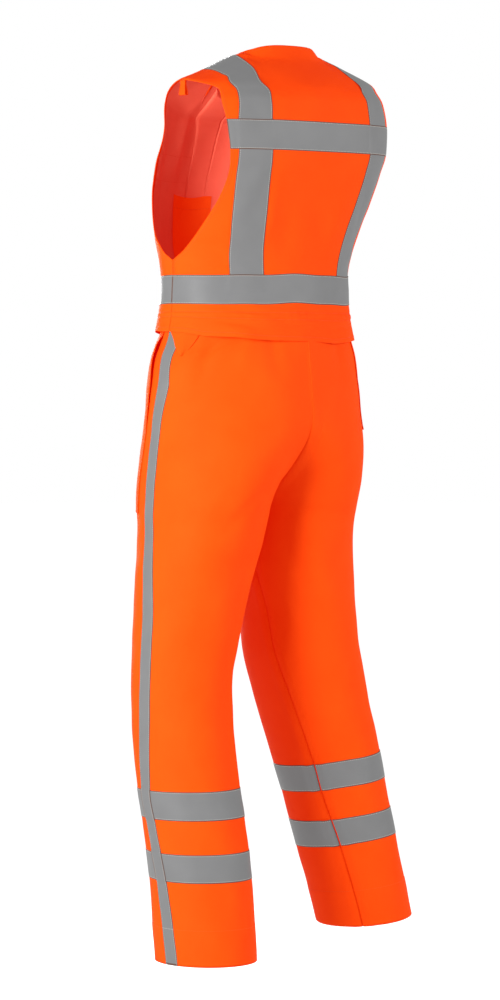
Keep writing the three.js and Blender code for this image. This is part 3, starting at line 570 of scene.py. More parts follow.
# ---- sheets ----
class Sheet:
    """A grid of knots on a cut's surface: rows go up the garment and columns across it. facing
    is 1 where the outside is to the right of a step across and then up, -1 where it is not.
    relief gives heights, droop moves knots up or down, settle has the last word on where they
    lie, and edges says how each edge is sewn."""

    def __init__(self, surface, across, up, facing, layer=0, relief=None, droop=None, edges=None,
                 settle=None):
        self.across, self.up = np.meshgrid(across, up)
        base = surface(self.across, self.up)
        side = surface(self.across + 0.01, self.up) - surface(self.across - 0.01, self.up)
        rise = surface(self.across, self.up + 0.5) - surface(self.across, self.up - 0.5)
        self.outward = unit(np.cross(side, rise)) * facing
        height = layer + ripple_height(base) + edge_height(base, edges or {})
        if relief is not None:
            height = height + relief(self.across, self.up, base)
        points = base + self.outward * np.expand_dims(height, -1)
        if droop is not None:
            points[..., 2] += droop(self.across, self.up, base)
        if settle is not None:
            points = settle(self.across, self.up, points)
        self.points = lean(points)
        self.edges = edges or {}
        width = np.linalg.norm(np.diff(self.points, axis=1), axis=2)
        length = np.linalg.norm(np.diff(self.points, axis=0), axis=2)
        self.run_across = np.pad(np.cumsum(width, 1), ((0, 0), (1, 0)))
        self.run_up = np.pad(np.cumsum(length, 0), ((1, 0), (0, 0)))

    def flat_size(self):
        """Width, length and area of the cut, in metres."""
        knots = self.points
        diagonals = np.cross(knots[1:, 1:] - knots[:-1, :-1], knots[1:, :-1] - knots[:-1, 1:])
        area = np.linalg.norm(diagonals, axis=2).sum() / 2 * MM ** 2
        width = max(self.run_across[:, -1].max() * MM, 0.01)
        length = self.run_up[-1].max() * MM
        return width, length, min(area, width * length)

    def line_beside(self, edge, inset):
        """The line at a distance from one edge, as points and outward directions."""
        knots, outward = self.points, self.outward
        if edge in ("low", "high"):
            knots, outward = knots.transpose(1, 0, 2), outward.transpose(1, 0, 2)
        if edge in ("last", "high"):
            knots, outward = knots[:, ::-1], outward[:, ::-1]
        reach = min(12, knots.shape[1])
        near, facing = knots[:, :reach], outward[:, :reach]
        distance = distance_to(near, knots[:, 0])
        line, turned = [], []
        for row, ways, gaps in zip(near, facing, distance):
            if gaps.max() >= inset:
                line.append([np.interp(inset, gaps, row[:, k]) for k in range(3)])
                turned.append([np.interp(inset, gaps, ways[:, k]) for k in range(3)])
        return np.array(line), unit(np.array(turned))

    def line_along(self, across=None, up=None):
        """The line at one place across or up the sheet."""
        if up is not None:
            places, knots, outward = self.up[:, 0], self.points, self.outward
            at = up
        else:
            places = self.across[0]
            knots, outward = self.points.transpose(1, 0, 2), self.outward.transpose(1, 0, 2)
            at = across
        order = np.argsort(places)
        low = np.clip(np.searchsorted(places[order], at) - 1, 0, len(order) - 2)
        a, b = order[low], order[low + 1]
        share = (at - places[a]) / (places[b] - places[a])
        return mix(knots[a], knots[b], share), unit(mix(outward[a], outward[b], share))

def unit(vectors):
    return vectors / np.maximum(np.linalg.norm(vectors, axis=-1, keepdims=True), 1e-9)

def lean(points):
    """The garment hangs a little unevenly: the right shoulder sits higher than the left."""
    share = smooth(LEAN_FROM, LEAN_TO, points[..., 2])
    points = points.copy()
    points[..., 2] -= SHOULDER_LEAN * share * points[..., 0]
    return points

NEAR_EDGE = np.array([1.4, 2.8, 4.2, 5.6, 7.0, 8.6, 10.4])

def places(surface, start, end, at, along, step, edges):
    """Places from start to end, about a step apart, and closer near the edges that are sewn."""
    dense = np.linspace(start, end, 500)
    line = surface(dense, at) if along == "across" else surface(at, dense)
    run = running_length(line)
    marks = list(np.linspace(0, run[-1], max(3, round(run[-1] / step)) + 1))
    if ("first" if along == "across" else "low") in edges:
        marks.extend(NEAR_EDGE)
    if ("last" if along == "across" else "high") in edges:
        marks.extend(run[-1] - NEAR_EDGE)
    kept = [0.0]
    for mark in sorted(marks)[1:]:
        if mark - kept[-1] > 1.2:
            kept.append(mark)
    kept[-1] = run[-1]
    return np.interp(kept, run, dense)

# The third material is a darker reddish ring along a tape's edge: painted shade.
OUTSIDE, REVERSE, TAPE_SHADED_RIM, TURNED_IN = range(4)  # a mesh's materials; TURNED_IN isn't kept
HEM_RINGS = 5  # rings of faces along a hem whose reverse is the outside turned in

def make_mesh(name, sheet, thickness, shade_rimmed=False):
    """A closed shell over the sheet's knots, with its UV map in metres of cloth. A sheet given a
    third material has its outermost ring of faces in it: a darker reddish tone painted as shade
    along its edge."""
    rows, columns = sheet.points.shape[:2]
    cloth = bmesh.new()
    bmesh.ops.create_grid(cloth, x_segments=columns - 1, y_segments=rows - 1, size=1)
    uv = cloth.loops.layers.uv.new("cloth")
    knots = in_metres(sheet.points)
    for vertex in cloth.verts:
        j = round((vertex.co.x + 1) / 2 * (columns - 1))
        i = round((vertex.co.y + 1) / 2 * (rows - 1))
        vertex.co = knots[i, j]
        vertex.index = i * columns + j
    run = np.stack([sheet.run_across, sheet.run_up], -1).reshape(-1, 2) * MM
    for face in cloth.faces:
        face.smooth = True
        for loop in face.loops:
            loop[uv].uv = run[loop.vert.index]
        if shade_rimmed and border_depth(face, rows, columns, sheet.edges) == 0:
            face.material_index = TAPE_SHADED_RIM
        elif not shade_rimmed and border_depth(face, rows, columns, sheet.edges, "hem") < HEM_RINGS:
            face.material_index = TURNED_IN
    faces_outward(cloth, sheet)
    give_thickness(cloth, thickness * MM)
    mesh = bpy.data.meshes.new(name)
    cloth.to_mesh(mesh)
    cloth.free()
    return mesh

def border_depth(face, rows, columns, edges, kind=None):
    """How many rings of faces lie between this face and the nearest edge sewn in this way."""
    lines = [vertex.index // columns for vertex in face.verts]
    ranks = [vertex.index % columns for vertex in face.verts]
    depths = {"low": min(lines), "high": rows - 1 - max(lines),
              "first": min(ranks), "last": columns - 1 - max(ranks)}
    if kind is None:
        return min(depths.values())
    return min([depths[name] for name, sewn in edges.items() if sewn[0] == kind], default=99)

def in_metres(points):
    return (points + [0, -SHOULDER_Y, 0]) * MM

def faces_outward(cloth, sheet):
    cloth.faces.ensure_lookup_table()
    cloth.normal_update()
    middle = cloth.faces[len(cloth.faces) // 2]
    outward = sheet.outward.reshape(-1, 3)[middle.verts[0].index]
    if middle.normal.dot(Vector(outward)) < 0:
        bmesh.ops.reverse_faces(cloth, faces=cloth.faces)
        cloth.normal_update()

def give_thickness(cloth, thickness):
    """The sheet becomes a closed shell round its middle."""
    outward = cloth.verts.layers.float_vector.new("outward")
    for vertex in cloth.verts:
        vertex[outward] = vertex.normal
        vertex.co += vertex.normal * (thickness / 2)
    outside = set(cloth.verts)
    bmesh.ops.extrude_face_region(cloth, geom=cloth.faces[:], use_keep_orig=True)
    for vertex in cloth.verts:
        if vertex not in outside:
            vertex.co -= vertex[outward] * thickness
    for face in cloth.faces:
        shared = sum(vertex in outside for vertex in face.verts)
        if face.material_index == TURNED_IN:
            face.material_index = OUTSIDE
        elif shared == 0:
            face.material_index = REVERSE
        if 0 < shared < len(face.verts):
            face.smooth = False
    cloth.verts.layers.float_vector.remove(outward)
    bmesh.ops.recalc_face_normals(cloth, faces=cloth.faces)

garment = {}

def add_object(name, data):
    thing = bpy.data.objects.new(name, data)
    bpy.context.scene.collection.objects.link(thing)
    return thing

def sew_on(name, sheet, finish, thickness):
    slot, *materials = finish
    mesh = make_mesh(name, sheet, thickness, len(materials) > 2)
    for material in materials:
        mesh.materials.append(material)
    piece = add_object(name + "_sewn", mesh)
    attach(piece, "root")
    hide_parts(name)
    width, length, area = sheet.flat_size()
    garment[name] = {"piece": piece, "sheet": sheet, "slot": slot}
    return sheet


# ---- stitching ----
STITCH = {"length": 2.4, "width": 1.0, "height": 0.45}
STITCH_PITCH, STITCH_LIFT = 3.6, 0.05

def at_places(values, run, at):
    return np.stack([np.interp(at, run, values[:, k]) for k in range(3)], -1)

def stitch_places(line, outward, lift):
    """Centre and directions of each stitch along a line of points."""
    run = running_length(line)
    at = np.arange(STITCH_PITCH / 2, run[-1], STITCH_PITCH)
    up = unit(at_places(outward, run, at))
    forward = unit(at_places(line, run, at + 1) - at_places(line, run, at - 1))
    return at_places(line, run, at) + up * lift, forward, unit(np.cross(up, forward)), up

def stitch_rows(name, lines, inside=False):
    """Rows of stitches on a piece: lines are (points, outward directions) and they lie on the
    piece's outer face, or its inner one."""
    piece, slot = garment[name]["piece"], garment[name]["slot"]
    thread, thickness = SEWING[slot]
    lift = (thickness / 2 + STITCH_LIFT) * (-1 if inside else 1)
    halves = np.array(list(STITCH.values())) / 2
    one = stitch_mesh()
    row = bmesh.new()
    for line, outward in lines:
        if len(line) < 2:
            continue
        for centre, *ways in zip(*stitch_places(line, outward, lift)):
            placing = Matrix(np.column_stack(ways) * halves * MM).to_4x4()
            placing.translation = in_metres(centre)
            one.transform(placing)
            row.from_mesh(one)
            one.transform(placing.inverted())
    mesh = bpy.data.meshes.new(f"{name}_stitching")
    row.to_mesh(mesh)
    row.free()
    bpy.data.meshes.remove(one)
    mesh.materials.append(thread)
    stitching = add_object(f"{name}_{'inner' if inside else 'outer'}_stitching", mesh)
    stitching.parent = piece

def stitch_mesh():
    ball = bmesh.new()
    bmesh.ops.create_icosphere(ball, subdivisions=1, radius=1)
    for face in ball.faces:
        face.smooth = True
    mesh = bpy.data.meshes.new("stitch")
    ball.to_mesh(mesh)
    ball.free()
    return mesh

def stitch_beside(name, rows):
    """Rows of stitches along a piece's edges, each row given as the edge and the inset."""
    stitch_rows(name, [garment[name]["sheet"].line_beside(*row) for row in rows])


# ---- finishes ----
def set_inputs(node, values):
    for name, value in values.items():
        node.inputs[name].default_value = value

def new_node(nodes, kind, values=None):
    node = nodes.new("ShaderNode" + kind)
    set_inputs(node, values or {})
    return node

def new_material(name, roughness, gloss, glow):
    """A material with its plain values. glow is light that it gives out under any lamp and in any
    shade. It is painted light that keeps its shaded parts from going dark, and only partly the real
    glow of a fluorescent dye or coating.
    """
    material = bpy.data.materials.new(name)
    material.use_nodes = True
    nodes = material.node_tree.nodes
    shader = nodes["Principled BSDF"]
    set_inputs(shader, {"Roughness": roughness, "Specular IOR Level": gloss,
                        "Emission Color": (*glow, 1), "Emission Strength": 1})
    return material, nodes, material.node_tree.links, shader

def cloth_place(nodes):
    place = new_node(nodes, "UVMap")
    place.uv_map = "cloth"
    return place.outputs["UV"]

def cloudy_tone(nodes, links, place, scale, dark, light):
    """A soft unevenness between two tones of one colour."""
    cloud = new_node(nodes, "TexNoise", {"Scale": scale, "Detail": 3})
    tone = new_node(nodes, "ValToRGB")
    low, high = tone.color_ramp.elements
    low.position, high.position = 0.3, 0.7
    low.color, high.color = (*dark, 1), (*light, 1)
    links.new(place, cloud.inputs["Vector"])
    links.new(cloud.outputs["Fac"], tone.inputs["Fac"])
    return tone.outputs["Color"]

def raise_grain(nodes, links, height, strength, depth, shader):
    bump = new_node(nodes, "Bump", {"Strength": strength, "Distance": depth})
    links.new(height, bump.inputs["Height"])
    links.new(bump.outputs["Normal"], shader.inputs["Normal"])

def twill(name, light, dark, glow, weave_depth):
    """Woven twill: fine diagonal ribs and slubs, and a steady glow. The glow is painted light, only
    partly the fluorescent dye's own, and keeps the twill's shade red and bright.
    """
    material, nodes, links, shader = new_material(name, 0.78, 0.03, glow)
    place = cloth_place(nodes)
    turn = new_node(nodes, "Mapping", {"Rotation": (0, 0, math.radians(58))})
    ribs = new_node(nodes, "TexWave", {"Scale": 330, "Distortion": 1.2, "Detail": 2})
    slubs = new_node(nodes, "TexNoise", {"Scale": 900})
    weave = new_node(nodes, "Math")
    weave.operation = "ADD"
    links.new(place, turn.inputs["Vector"])
    links.new(turn.outputs["Vector"], ribs.inputs["Vector"])
    links.new(place, slubs.inputs["Vector"])
    links.new(ribs.outputs["Fac"], weave.inputs[0])
    links.new(slubs.outputs["Fac"], weave.inputs[1])
    raise_grain(nodes, links, weave.outputs["Value"], weave_depth, 0.0002, shader)
    links.new(cloudy_tone(nodes, links, place, 14, dark, light), shader.inputs["Base Color"])
    return material

def reflective(name, light, dark, glow):
    """Grey bead-coated tape: fine grain, faint cloudy tone and a soft gloss, with a glow of painted
    light that evens out its shading.
    """
    material, nodes, links, shader = new_material(name, 0.5, 0.05, glow)
    place = cloth_place(nodes)
    grain = new_node(nodes, "TexNoise", {"Scale": 1400})
    links.new(place, grain.inputs["Vector"])
    raise_grain(nodes, links, grain.outputs["Fac"], 0.25, 0.0001, shader)
    links.new(cloudy_tone(nodes, links, place, 22, dark, light), shader.inputs["Base Color"])
    return material

def thread(name, colour, glow):
    """Spun sewing thread, with a fine twist and a glow of painted light that keeps the stitches
    bright in shade.
    """
    material, nodes, links, shader = new_material(name, 0.6, 0.1, glow)
    place = new_node(nodes, "TexCoord").outputs["Object"]
    twist = new_node(nodes, "TexNoise", {"Scale": 1800})
    links.new(place, twist.inputs["Vector"])
    raise_grain(nodes, links, twist.outputs["Fac"], 0.3, 0.0001, shader)
    dark = tuple(part * 0.8 for part in colour)
    links.new(cloudy_tone(nodes, links, place, 400, dark, colour), shader.inputs["Base Color"])
    return material

# ORANGE and CORAL glow with painted light: their emission lifts the red of their shaded parts in
# any light, and their base colours are kept low to match.
ORANGE = twill("orange_twill", (0.25, 0.030, 0.0008), (0.24, 0.027, 0.0005), (0.45, 0, 0), 0.35)
CORAL = twill("coral_reverse", (0.42, 0.090, 0.055), (0.38, 0.078, 0.047),
              (0.30, 0.006, 0.003), 0.45)
# The inner pocket's orange is a lightened copy of the twill with a stronger glow: painted light on
# a pocket that hangs in shade.
LIT_POCKET_ORANGE = twill("lit_pocket_orange", (0.30, 0.048, 0.002), (0.27, 0.042, 0.0016),
                      (0.52, 0.006, 0), 0.35)
# The tape's glow is painted light: it keeps the tape the same grey whether it is lit or shaded.
SILVER = reflective("silver_tape", (0.036, 0.036, 0.0365), (0.031, 0.031, 0.0315),
                    (0.135, 0.135, 0.135))
# A darker reddish tone for a tape's outermost faces: painted shade along its edges.
TAPE_EDGE_SHADE = reflective("tape_edge_shade", (0.034, 0.018, 0.013), (0.030, 0.015, 0.011),
                       (0.06, 0.035, 0.03))
# The threads' glow is painted light that keeps the stitches bright in any shade.
ORANGE_THREAD = thread("orange_thread", (0.20, 0.034, 0.004), (0.42, 0, 0))
GREY_THREAD = thread("grey_thread", (0.12, 0.11, 0.10), (0.36, 0.34, 0.30))
SEWING = {"twill": (ORANGE_THREAD, TWILL), "tape": (GREY_THREAD, TAPE)}  # by slot
TWILL_FINISH = ("twill", ORANGE, CORAL)
LOOSE_FINISH = ("twill", ORANGE, ORANGE)
LIT_POCKET_FINISH = ("twill", LIT_POCKET_ORANGE, LIT_POCKET_ORANGE)
REVERSE_FINISH = ("twill_reverse", CORAL, CORAL)
TAPE_FINISH = ("tape", SILVER, SILVER, TAPE_EDGE_SHADE)
TAPE_SIDES = {"first": ("tape", 0), "last": ("tape", 0)}
TAPE_EDGES = {**TAPE_SIDES, "low": ("tape", 0), "high": ("tape", 0)}


# ---- bib ----
back_surface, front_surface = trunk_surface(BACK_CUT), trunk_surface(FRONT_CUT)
ARMHOLE_HEM, NECK_HEM, WAIST_HEM = 6, 7, 9
STRIP_HEM = ("hem", 6)  # the turned edges of pockets, placket and fly cover

def back_runs(*rows):
    return [float(BACK_CUT["run"][BACK[row]]) for row in rows]

def front_runs(*rows):
    return [float(FRONT_CUT["run"][FRONT[row]]) for row in rows]

def fold_sheet(surface, facing, across, up, layer, fold_height, relief, edges, step, **shaping):
    """A sheet with the cloth's folds and a piece's own relief on it."""
    def lies(across, up, base):
        height = fold_height(across, up, base)
        return height if relief is None else height + relief(across, up, base)
    columns = places(surface, *across, sum(up) / 2, "across", step, edges)
    rows = places(surface, *up, sum(across) / 2, "up", step, edges)
    return Sheet(surface, columns, rows, facing, layer, lies, edges=edges, **shaping)

def trunk_piece(name, surface, across, up, layer, finish, thickness, relief=None, edges=None,
                rests_on=("back_panel_sewn",), step=PANEL_STEP, **shaping):
    behind = surface is back_surface
    def fold_height(across, up, base):
        return trunk_fold_height(TRUNK_FOLDS["back" if behind else "front"], base)
    sheet = fold_sheet(surface, -1 if behind else 1, across, up, layer, fold_height, relief,
                       edges or {}, step, **shaping)
    return sew_on(name, sheet, finish, thickness)

def trunk_tape(name, surface, across, up, relief, ends=(), **shaping):
    """A tape across the bib, stitched down along its edges and at the ends named."""
    trunk_piece(name, surface, across, up, TAPE_LIFT, TAPE_FINISH, TAPE, relief, TAPE_EDGES,
                step=TAPE_STEP, **shaping)
    stitch_beside(name, [(edge, TAPE_STITCHING) for edge in ("low", "high", *ends)])

def eased_neck_corners(across, up, points):
    """The back lies smooth round the corners of its neck, where its knots crowd together."""
    near = np.exp(-((np.abs(across) - BACK_LINES["neck_side"]) / 0.3) ** 2)
    near = near * smooth(-50, -25, up - back_runs("top")[0])
    share = np.expand_dims(near[1:-1, 1:-1], -1)
    points = points.copy()
    for _ in range(14):
        beside = points[1:-1, :-2] + points[1:-1, 2:] + points[:-2, 1:-1] + points[2:, 1:-1]
        points[1:-1, 1:-1] = mix(points[1:-1, 1:-1], beside / 4, share)
    return points

def over_brace(lines, low, high):
    """A tape steps up where it crosses a brace between these running lengths."""
    def relief(across, up, base):
        reach = np.abs(across)
        inner, outer = lines["brace_inner"], lines["brace_outer"]
        crossing = smooth(inner - 0.12, inner, reach) * (1 - smooth(outer, outer + 0.06, reach))
        along = smooth(low - 3, low, up) * (1 - smooth(high, high + 3, up))
        return TAPE_ON_TAPE * crossing * along
    return relief

def waist_flare(across, up, base):
    """The waist panel's lower edge stands off the trousers, most behind the left hip."""
    share = 1 - smooth(0, 42, up)
    behind = smooth(20, 60, base[..., 1])
    hip = np.exp(-((base[..., 0] - 125) / 42) ** 2) * behind
    wave = 0.9 * np.sin(base[..., 0] / 17) + 0.6 * np.sin(base[..., 0] / 9.3 + 1)
    return share * (0.4 + 5 * hip + wave * behind)

CASING_ROWS = (14, 25)  # depths of the stitching rows below the waist tape

def casing_rows(casing_top):
    """The elastic casing below the waist tape: two rows of stitching with a puff between."""
    def relief(across, up, base):
        first, second = (casing_top - depth for depth in CASING_ROWS)
        pulled = np.exp(-((up - first) / 1.8) ** 2) + np.exp(-((up - second) / 1.8) ** 2)
        gathers = np.sin(base[..., 0] / 3.1 + 2 * np.sin(base[..., 0] / 23))
        puff = np.exp(-((up - (first + second) / 2) / 7) ** 2)
        return waist_flare(across, up, base) - 1.2 * pulled + puff * (0.7 + 0.25 * gathers)
    return relief

WAIST_EDGE = {  # X, and how much higher than straight the lower edge lies
    "back": table("x lift", [(-190, -3), (-150, -3.6), (-69, -7), (-25, -3.3), (55, -1.8),
                             (97, -1), (135, 2), (170, 2.5), (187, 7)]),
    "front": table("x lift", [(-190, -3), (-60, 0), (40, 0), (120, 5), (178, 9.5), (190, 7)]),
}

SIDE_SEAM = ("seam", 1.3)

def waist_droop(across, up, base):
    back, front = (np.interp(base[..., 0], WAIST_EDGE[side]["x"], WAIST_EDGE[side]["lift"])
                   for side in ("back", "front"))
    return (1 - smooth(0, 55, up)) * np.where(base[..., 1] > -20, back, front)

def make_waist_panel(name, surface, across, up, edges, casing_top):
    sheet = trunk_piece(name, surface, across, up, 0, TWILL_FINISH, TWILL,
                        casing_rows(casing_top), {**edges, "low": ("hem", WAIST_HEM)}, step=2.4,
                        droop=waist_droop)
    lines = [sheet.line_beside("low", WAIST_HEM - HEM_STITCHING)]
    lines += [sheet.line_along(up=casing_top - depth) for depth in CASING_ROWS]
    stitch_rows(name, lines)

def make_back():
    across = (-BACK_LINES["edge"], BACK_LINES["edge"])
    hems = {"first": ARMHOLE_HEM, "last": ARMHOLE_HEM, "high": NECK_HEM}
    trunk_piece("back_panel", back_surface, across, back_runs("seam", "top"), 0, TWILL_FINISH,
                TWILL, edges={edge: ("hem", depth) for edge, depth in hems.items()},
                rests_on=["front_left_sewn"], settle=eased_neck_corners)
    stitch_beside("back_panel", [(edge, depth - HEM_STITCHING) for edge, depth in hems.items()])
    make_waist_panel("waist_back", back_surface, across, back_runs("free", "seam"),
                     {"first": SIDE_SEAM, "last": SIDE_SEAM}, back_runs("tape_low")[0])
    over = over_brace(BACK_LINES, *back_runs("seam", "top"))
    trunk_tape("chest_tape_back", back_surface, across, back_runs("chest_low", "chest_top"), over)
    trunk_tape("waist_tape_back", back_surface, across, back_runs("tape_low", "tape_top"), over,
               droop=waist_tape_droop)

def waist_tape_droop(across, up, base):
    return 1.3 * np.sin(base[..., 0] / 34 + 1.1) + 0.6 * np.sin(base[..., 0] / 15)

FACING_LAYER, FACING_THICKNESS, FACING_SHORT = -1.3, 0.8, 9  # a facing ends short of the neck

def tucked(across, up, base):
    """The front's corner at the neck tucks in below the back's."""
    corner = np.exp(-((np.abs(base[..., 0]) - NECK_CORNER) / 9) ** 2)
    return -CORNER_SAG * corner * smooth(-14, 0, up - front_runs("top")[0])

def make_front(side):
    sign = 1 if side == "left" else -1
    edge = sign * FRONT_LINES["edge"]
    outer, inner = ("last", "first") if side == "left" else ("first", "last")
    name, across = f"front_{side}", sorted((0, edge))
    seam, top = front_runs("seam", "top")
    sheet = trunk_piece(name, front_surface, across, (seam, top), 0, TWILL_FINISH, TWILL,
                        edges={outer: ("hem", ARMHOLE_HEM), "high": ("hem", NECK_HEM)},
                        droop=tucked)
    stitch_beside(name, [(outer, ARMHOLE_HEM - HEM_STITCHING), ("high", NECK_HEM - HEM_STITCHING)])
    chest_low, chest_top = front_runs("chest_low", "chest_top")
    stitch_rows(name, [sheet.line_along(up=chest_low + TAPE_STITCHING),
                       sheet.line_along(up=chest_top - TAPE_STITCHING),
                       sheet.line_along(across=sign * (FRONT_LINES["facing"] - 0.08))], inside=True)
    make_waist_panel(f"waist_front_{side}", front_surface, across, front_runs("free", "seam"),
                     {outer: SIDE_SEAM}, front_runs("tape_low")[0])
    for tape, rows in (("chest_tape", ("chest_low", "chest_top")),
                       ("waist_tape", ("tape_low", "tape_top"))):
        trunk_tape(f"{tape}_front_{side}", front_surface,
                   sorted((sign * FRONT_LINES["placket"], edge)), front_runs(*rows),
                   over_brace(FRONT_LINES, seam, top), (inner,))
    trunk_piece(f"front_facing_{side}", front_surface, sorted((0, sign * FRONT_LINES["facing"])),
                (seam, top - FACING_SHORT), FACING_LAYER, REVERSE_FINISH, FACING_THICKNESS,
                rests_on=[f"front_{side}_sewn"])

def make_brace(side):
    """The brace tape runs up the back, over the shoulder seam and down the front."""
    sign = 1 if side == "left" else -1
    bottom, top = back_runs("seam", "top")
    front_bottom, front_top = front_runs("seam", "top")
    to_front = FRONT_LINES["brace_inner"] - BACK_LINES["brace_inner"]
    def surface(across, up):
        across, up = np.broadcast_arrays(across, up)
        behind = back_surface(across * sign, np.minimum(up, top))
        down = np.clip(front_top - (up - top), front_bottom, front_top)
        before = front_surface((across + to_front) * sign, down)
        return np.where((up <= top)[..., None], behind, before)
    def relief(across, up, base):
        return np.where(up <= top, trunk_fold_height(TRUNK_FOLDS["back"], base),
                        trunk_fold_height(TRUNK_FOLDS["front"], base))
    ends = BACK_LINES["brace_inner"], BACK_LINES["brace_outer"]
    total = top + front_top - front_bottom
    columns = places(surface, *ends, (bottom + top) / 2, "across", TAPE_STEP, TAPE_SIDES)
    rows = places(surface, bottom, total, sum(ends) / 2, "up", TAPE_STEP, TAPE_SIDES)
    sheet = Sheet(surface, columns, rows, -sign, TAPE_LIFT, relief, edges=TAPE_SIDES)
    name = f"brace_tape_{side}"
    sew_on(name, sheet, TAPE_FINISH, TAPE)
    stitch_beside(name, [(edge, TAPE_STITCHING) for edge in TAPE_SIDES])

PLACKET_LIFT, PLACKET_STITCHING = 1.4, 4.4

def make_placket():
    line = FRONT_LINES["placket"]
    trunk_piece("front_placket", front_surface, (-line, line), front_runs("free", "top"),
                PLACKET_LIFT, TWILL_FINISH, TWILL, edges={"first": STRIP_HEM, "last": STRIP_HEM},
                rests_on=["front_left_sewn"])
    stitch_beside("front_placket", [(edge, PLACKET_STITCHING) for edge in ("first", "last")])

INNER_POCKET = {"start": -0.55, "layer": -2.7, "thickness": 1.0, "mouth_hem": 22}

def make_inner_pocket():
    """Pocket inside the left front. Its mouth hangs away from the panel."""
    low, high = front_runs("pocket_low", "pocket_top")
    def share_up(up):
        return (up - low) / (high - low)
    def bulge(across):
        return np.clip(1 - ((across - 2) / 2) ** 2, 0, 1)
    def relief(across, up, base):
        tuck = 3 * np.exp(-((across - 3.5) / 0.35) ** 2) * share_up(up) ** 3
        return -7 * share_up(up) ** 2 * bulge(across) + tuck
    def pocket_sag(across, up, base):
        return -4 * share_up(up) ** 2 * bulge(across)
    sheet = trunk_piece("inner_pocket", front_surface,
                        (INNER_POCKET["start"], FRONT_LINES["brace_inner"]), (low, high),
                        INNER_POCKET["layer"], LIT_POCKET_FINISH, INNER_POCKET["thickness"], relief,
                        {"last": ("hem", 5)}, ["front_left_sewn"], 4, droop=pocket_sag)
    stitch_rows("inner_pocket", [sheet.line_along(up=high - INNER_POCKET["mouth_hem"])],
                inside=True)


# ---- trousers ----
INSEAM = 1 + LEG_COLUMNS
POCKET_TOP, POCKET_MOUTH_END, POCKET_LOW = 468, 640, 780
HIP_POCKET_LINES = (-8, -2)
TOOL_POCKET_LINES, TOOL_POCKET_LOW = (1, 5), 640
POCKET_STITCHING, SECOND_STITCHING = 2, 8

def leg_piece(name, side, across, drops, layer, finish, thickness, relief=None, edges=None,
              step=PANEL_STEP, settle=None):
    """across runs from the front to the back. On the right leg the columns are reversed, so
    that they too step towards the wearer's left."""
    def fold_height(across, drop, base):
        return leg_fold_height(LEG_FOLDS[side], drop, leg_angle(LEGS[side], across, drop))
    facing = -1 if side == "left" else 1
    sheet = fold_sheet(leg_surface(side), facing, across[::-facing], drops[::-1], layer,
                       fold_height, relief, edges or {}, step, settle=settle)
    return sew_on(name, sheet, finish, thickness)

def over_bands(side):
    """The side tape steps up over the leg bands."""
    def relief(across, drop, base):
        height = np.zeros(drop.shape)
        for low, high in LEG_BANDS[side].values():
            height += smooth(low - 3, low, drop) * (1 - smooth(high, high + 3, drop))
        return TAPE_ON_TAPE * height
    return relief

MIDDLE_GAP = 0.1  # half the gap between the trouser halves at the middle seam

def meet_in_middle(side):
    """Above the crotch the two trouser halves touch along the middle seam."""
    sign = 1 if side == "left" else -1
    def settle(across, drop, points):
        share = smooth(10.3, 10.95, np.abs(across)) * (1 - smooth(785, 815, drop))
        points = points.copy()
        points[..., 0] = mix(points[..., 0], MIDDLE_GAP * sign, share)
        return points
    return settle

PLEAT_TOP, PLEAT_CORNER = 458, 511

def make_hip_pleat():
    """The left trouser top is folded into a small three-cornered pleat that laps over the
    side tape below the waist panel."""
    leg = leg_surface("left")
    def surface(across, drop):
        across, drop = np.broadcast_arrays(np.asarray(across, float), np.asarray(drop, float))
        share = np.clip((drop - PLEAT_TOP) / (PLEAT_CORNER - PLEAT_TOP), 0, 1)
        return leg(mix(mix(-1.0, 1.8, share), mix(3.3, 2.0, share), across), drop)
    def relief(across, drop, base):
        return 1.3 + 4.6 * (1 - smooth(0.5, 1.0, across)) - 1.6 * (1 - smooth(0, 0.3, across))
    columns = np.concatenate([[0, 0.04, 0.09], np.linspace(0.16, 1, 12)])
    sheet = Sheet(surface, columns, np.linspace(PLEAT_CORNER, PLEAT_TOP, 22), -1, 0, relief)
    pleat = add_object("hip_pleat", make_mesh("hip_pleat", sheet, TWILL))
    pleat.data.materials.append(ORANGE)
    pleat.data.materials.append(ORANGE)
    pleat.parent = garment["trouser_back_left"]["piece"]

def make_trousers(side):
    hem = HEM_DROP[side]
    hem_top = hem - HEM_DEPTH
    left = side == "left"
    inseam = ("seam", 2.2) if left else ("crease", 2.8)
    inner, outer = ("last", "first") if left else ("first", "last")
    def turned_up(across, drop, base):
        return 0.5 * smooth(hem_top - 1.5, hem_top + 1.5, drop)
    for name, across, seam in ((f"trouser_back_{side}", (0, INSEAM), inner),
                               (f"trouser_front_{side}", (-INSEAM, 0), outer)):
        sheet = leg_piece(name, side, across, (WAIST_DROP, hem), 0, TWILL_FINISH, TWILL,
                          turned_up, {seam: inseam}, settle=meet_in_middle(side))
        stitch_rows(name, [sheet.line_along(up=hem_top + 1.5)])
    if left:
        make_hip_pleat()
    name = f"side_tape_{side}"
    sheet = leg_piece(name, side, (-1, 1), (TAPE_START_DROP, hem), TAPE_LIFT, TAPE_FINISH, TAPE,
                      over_bands(side), TAPE_SIDES, TAPE_STEP)
    stitch_rows(name, [sheet.line_beside("first", TAPE_STITCHING),
                       sheet.line_beside("last", TAPE_STITCHING),
                       sheet.line_along(up=hem_top + 1.5)])
    for band, drops in LEG_BANDS[side].items():
        name = f"leg_band_{band}_{side}"
        leg_piece(name, side, (-INSEAM, INSEAM), drops, TAPE_LIFT, TAPE_FINISH, TAPE, band_join,
                  {**TAPE_EDGES, "first": inseam, "last": inseam}, TAPE_STEP)
        stitch_beside(name, [("low", TAPE_STITCHING), ("high", TAPE_STITCHING)])
    make_hip_pocket(side)

def band_join(across, drop, base):
    """The end of the band laps over its start, just in front of the inseam."""
    return 0.8 * (1 - smooth(-10.66, -10.58, across))

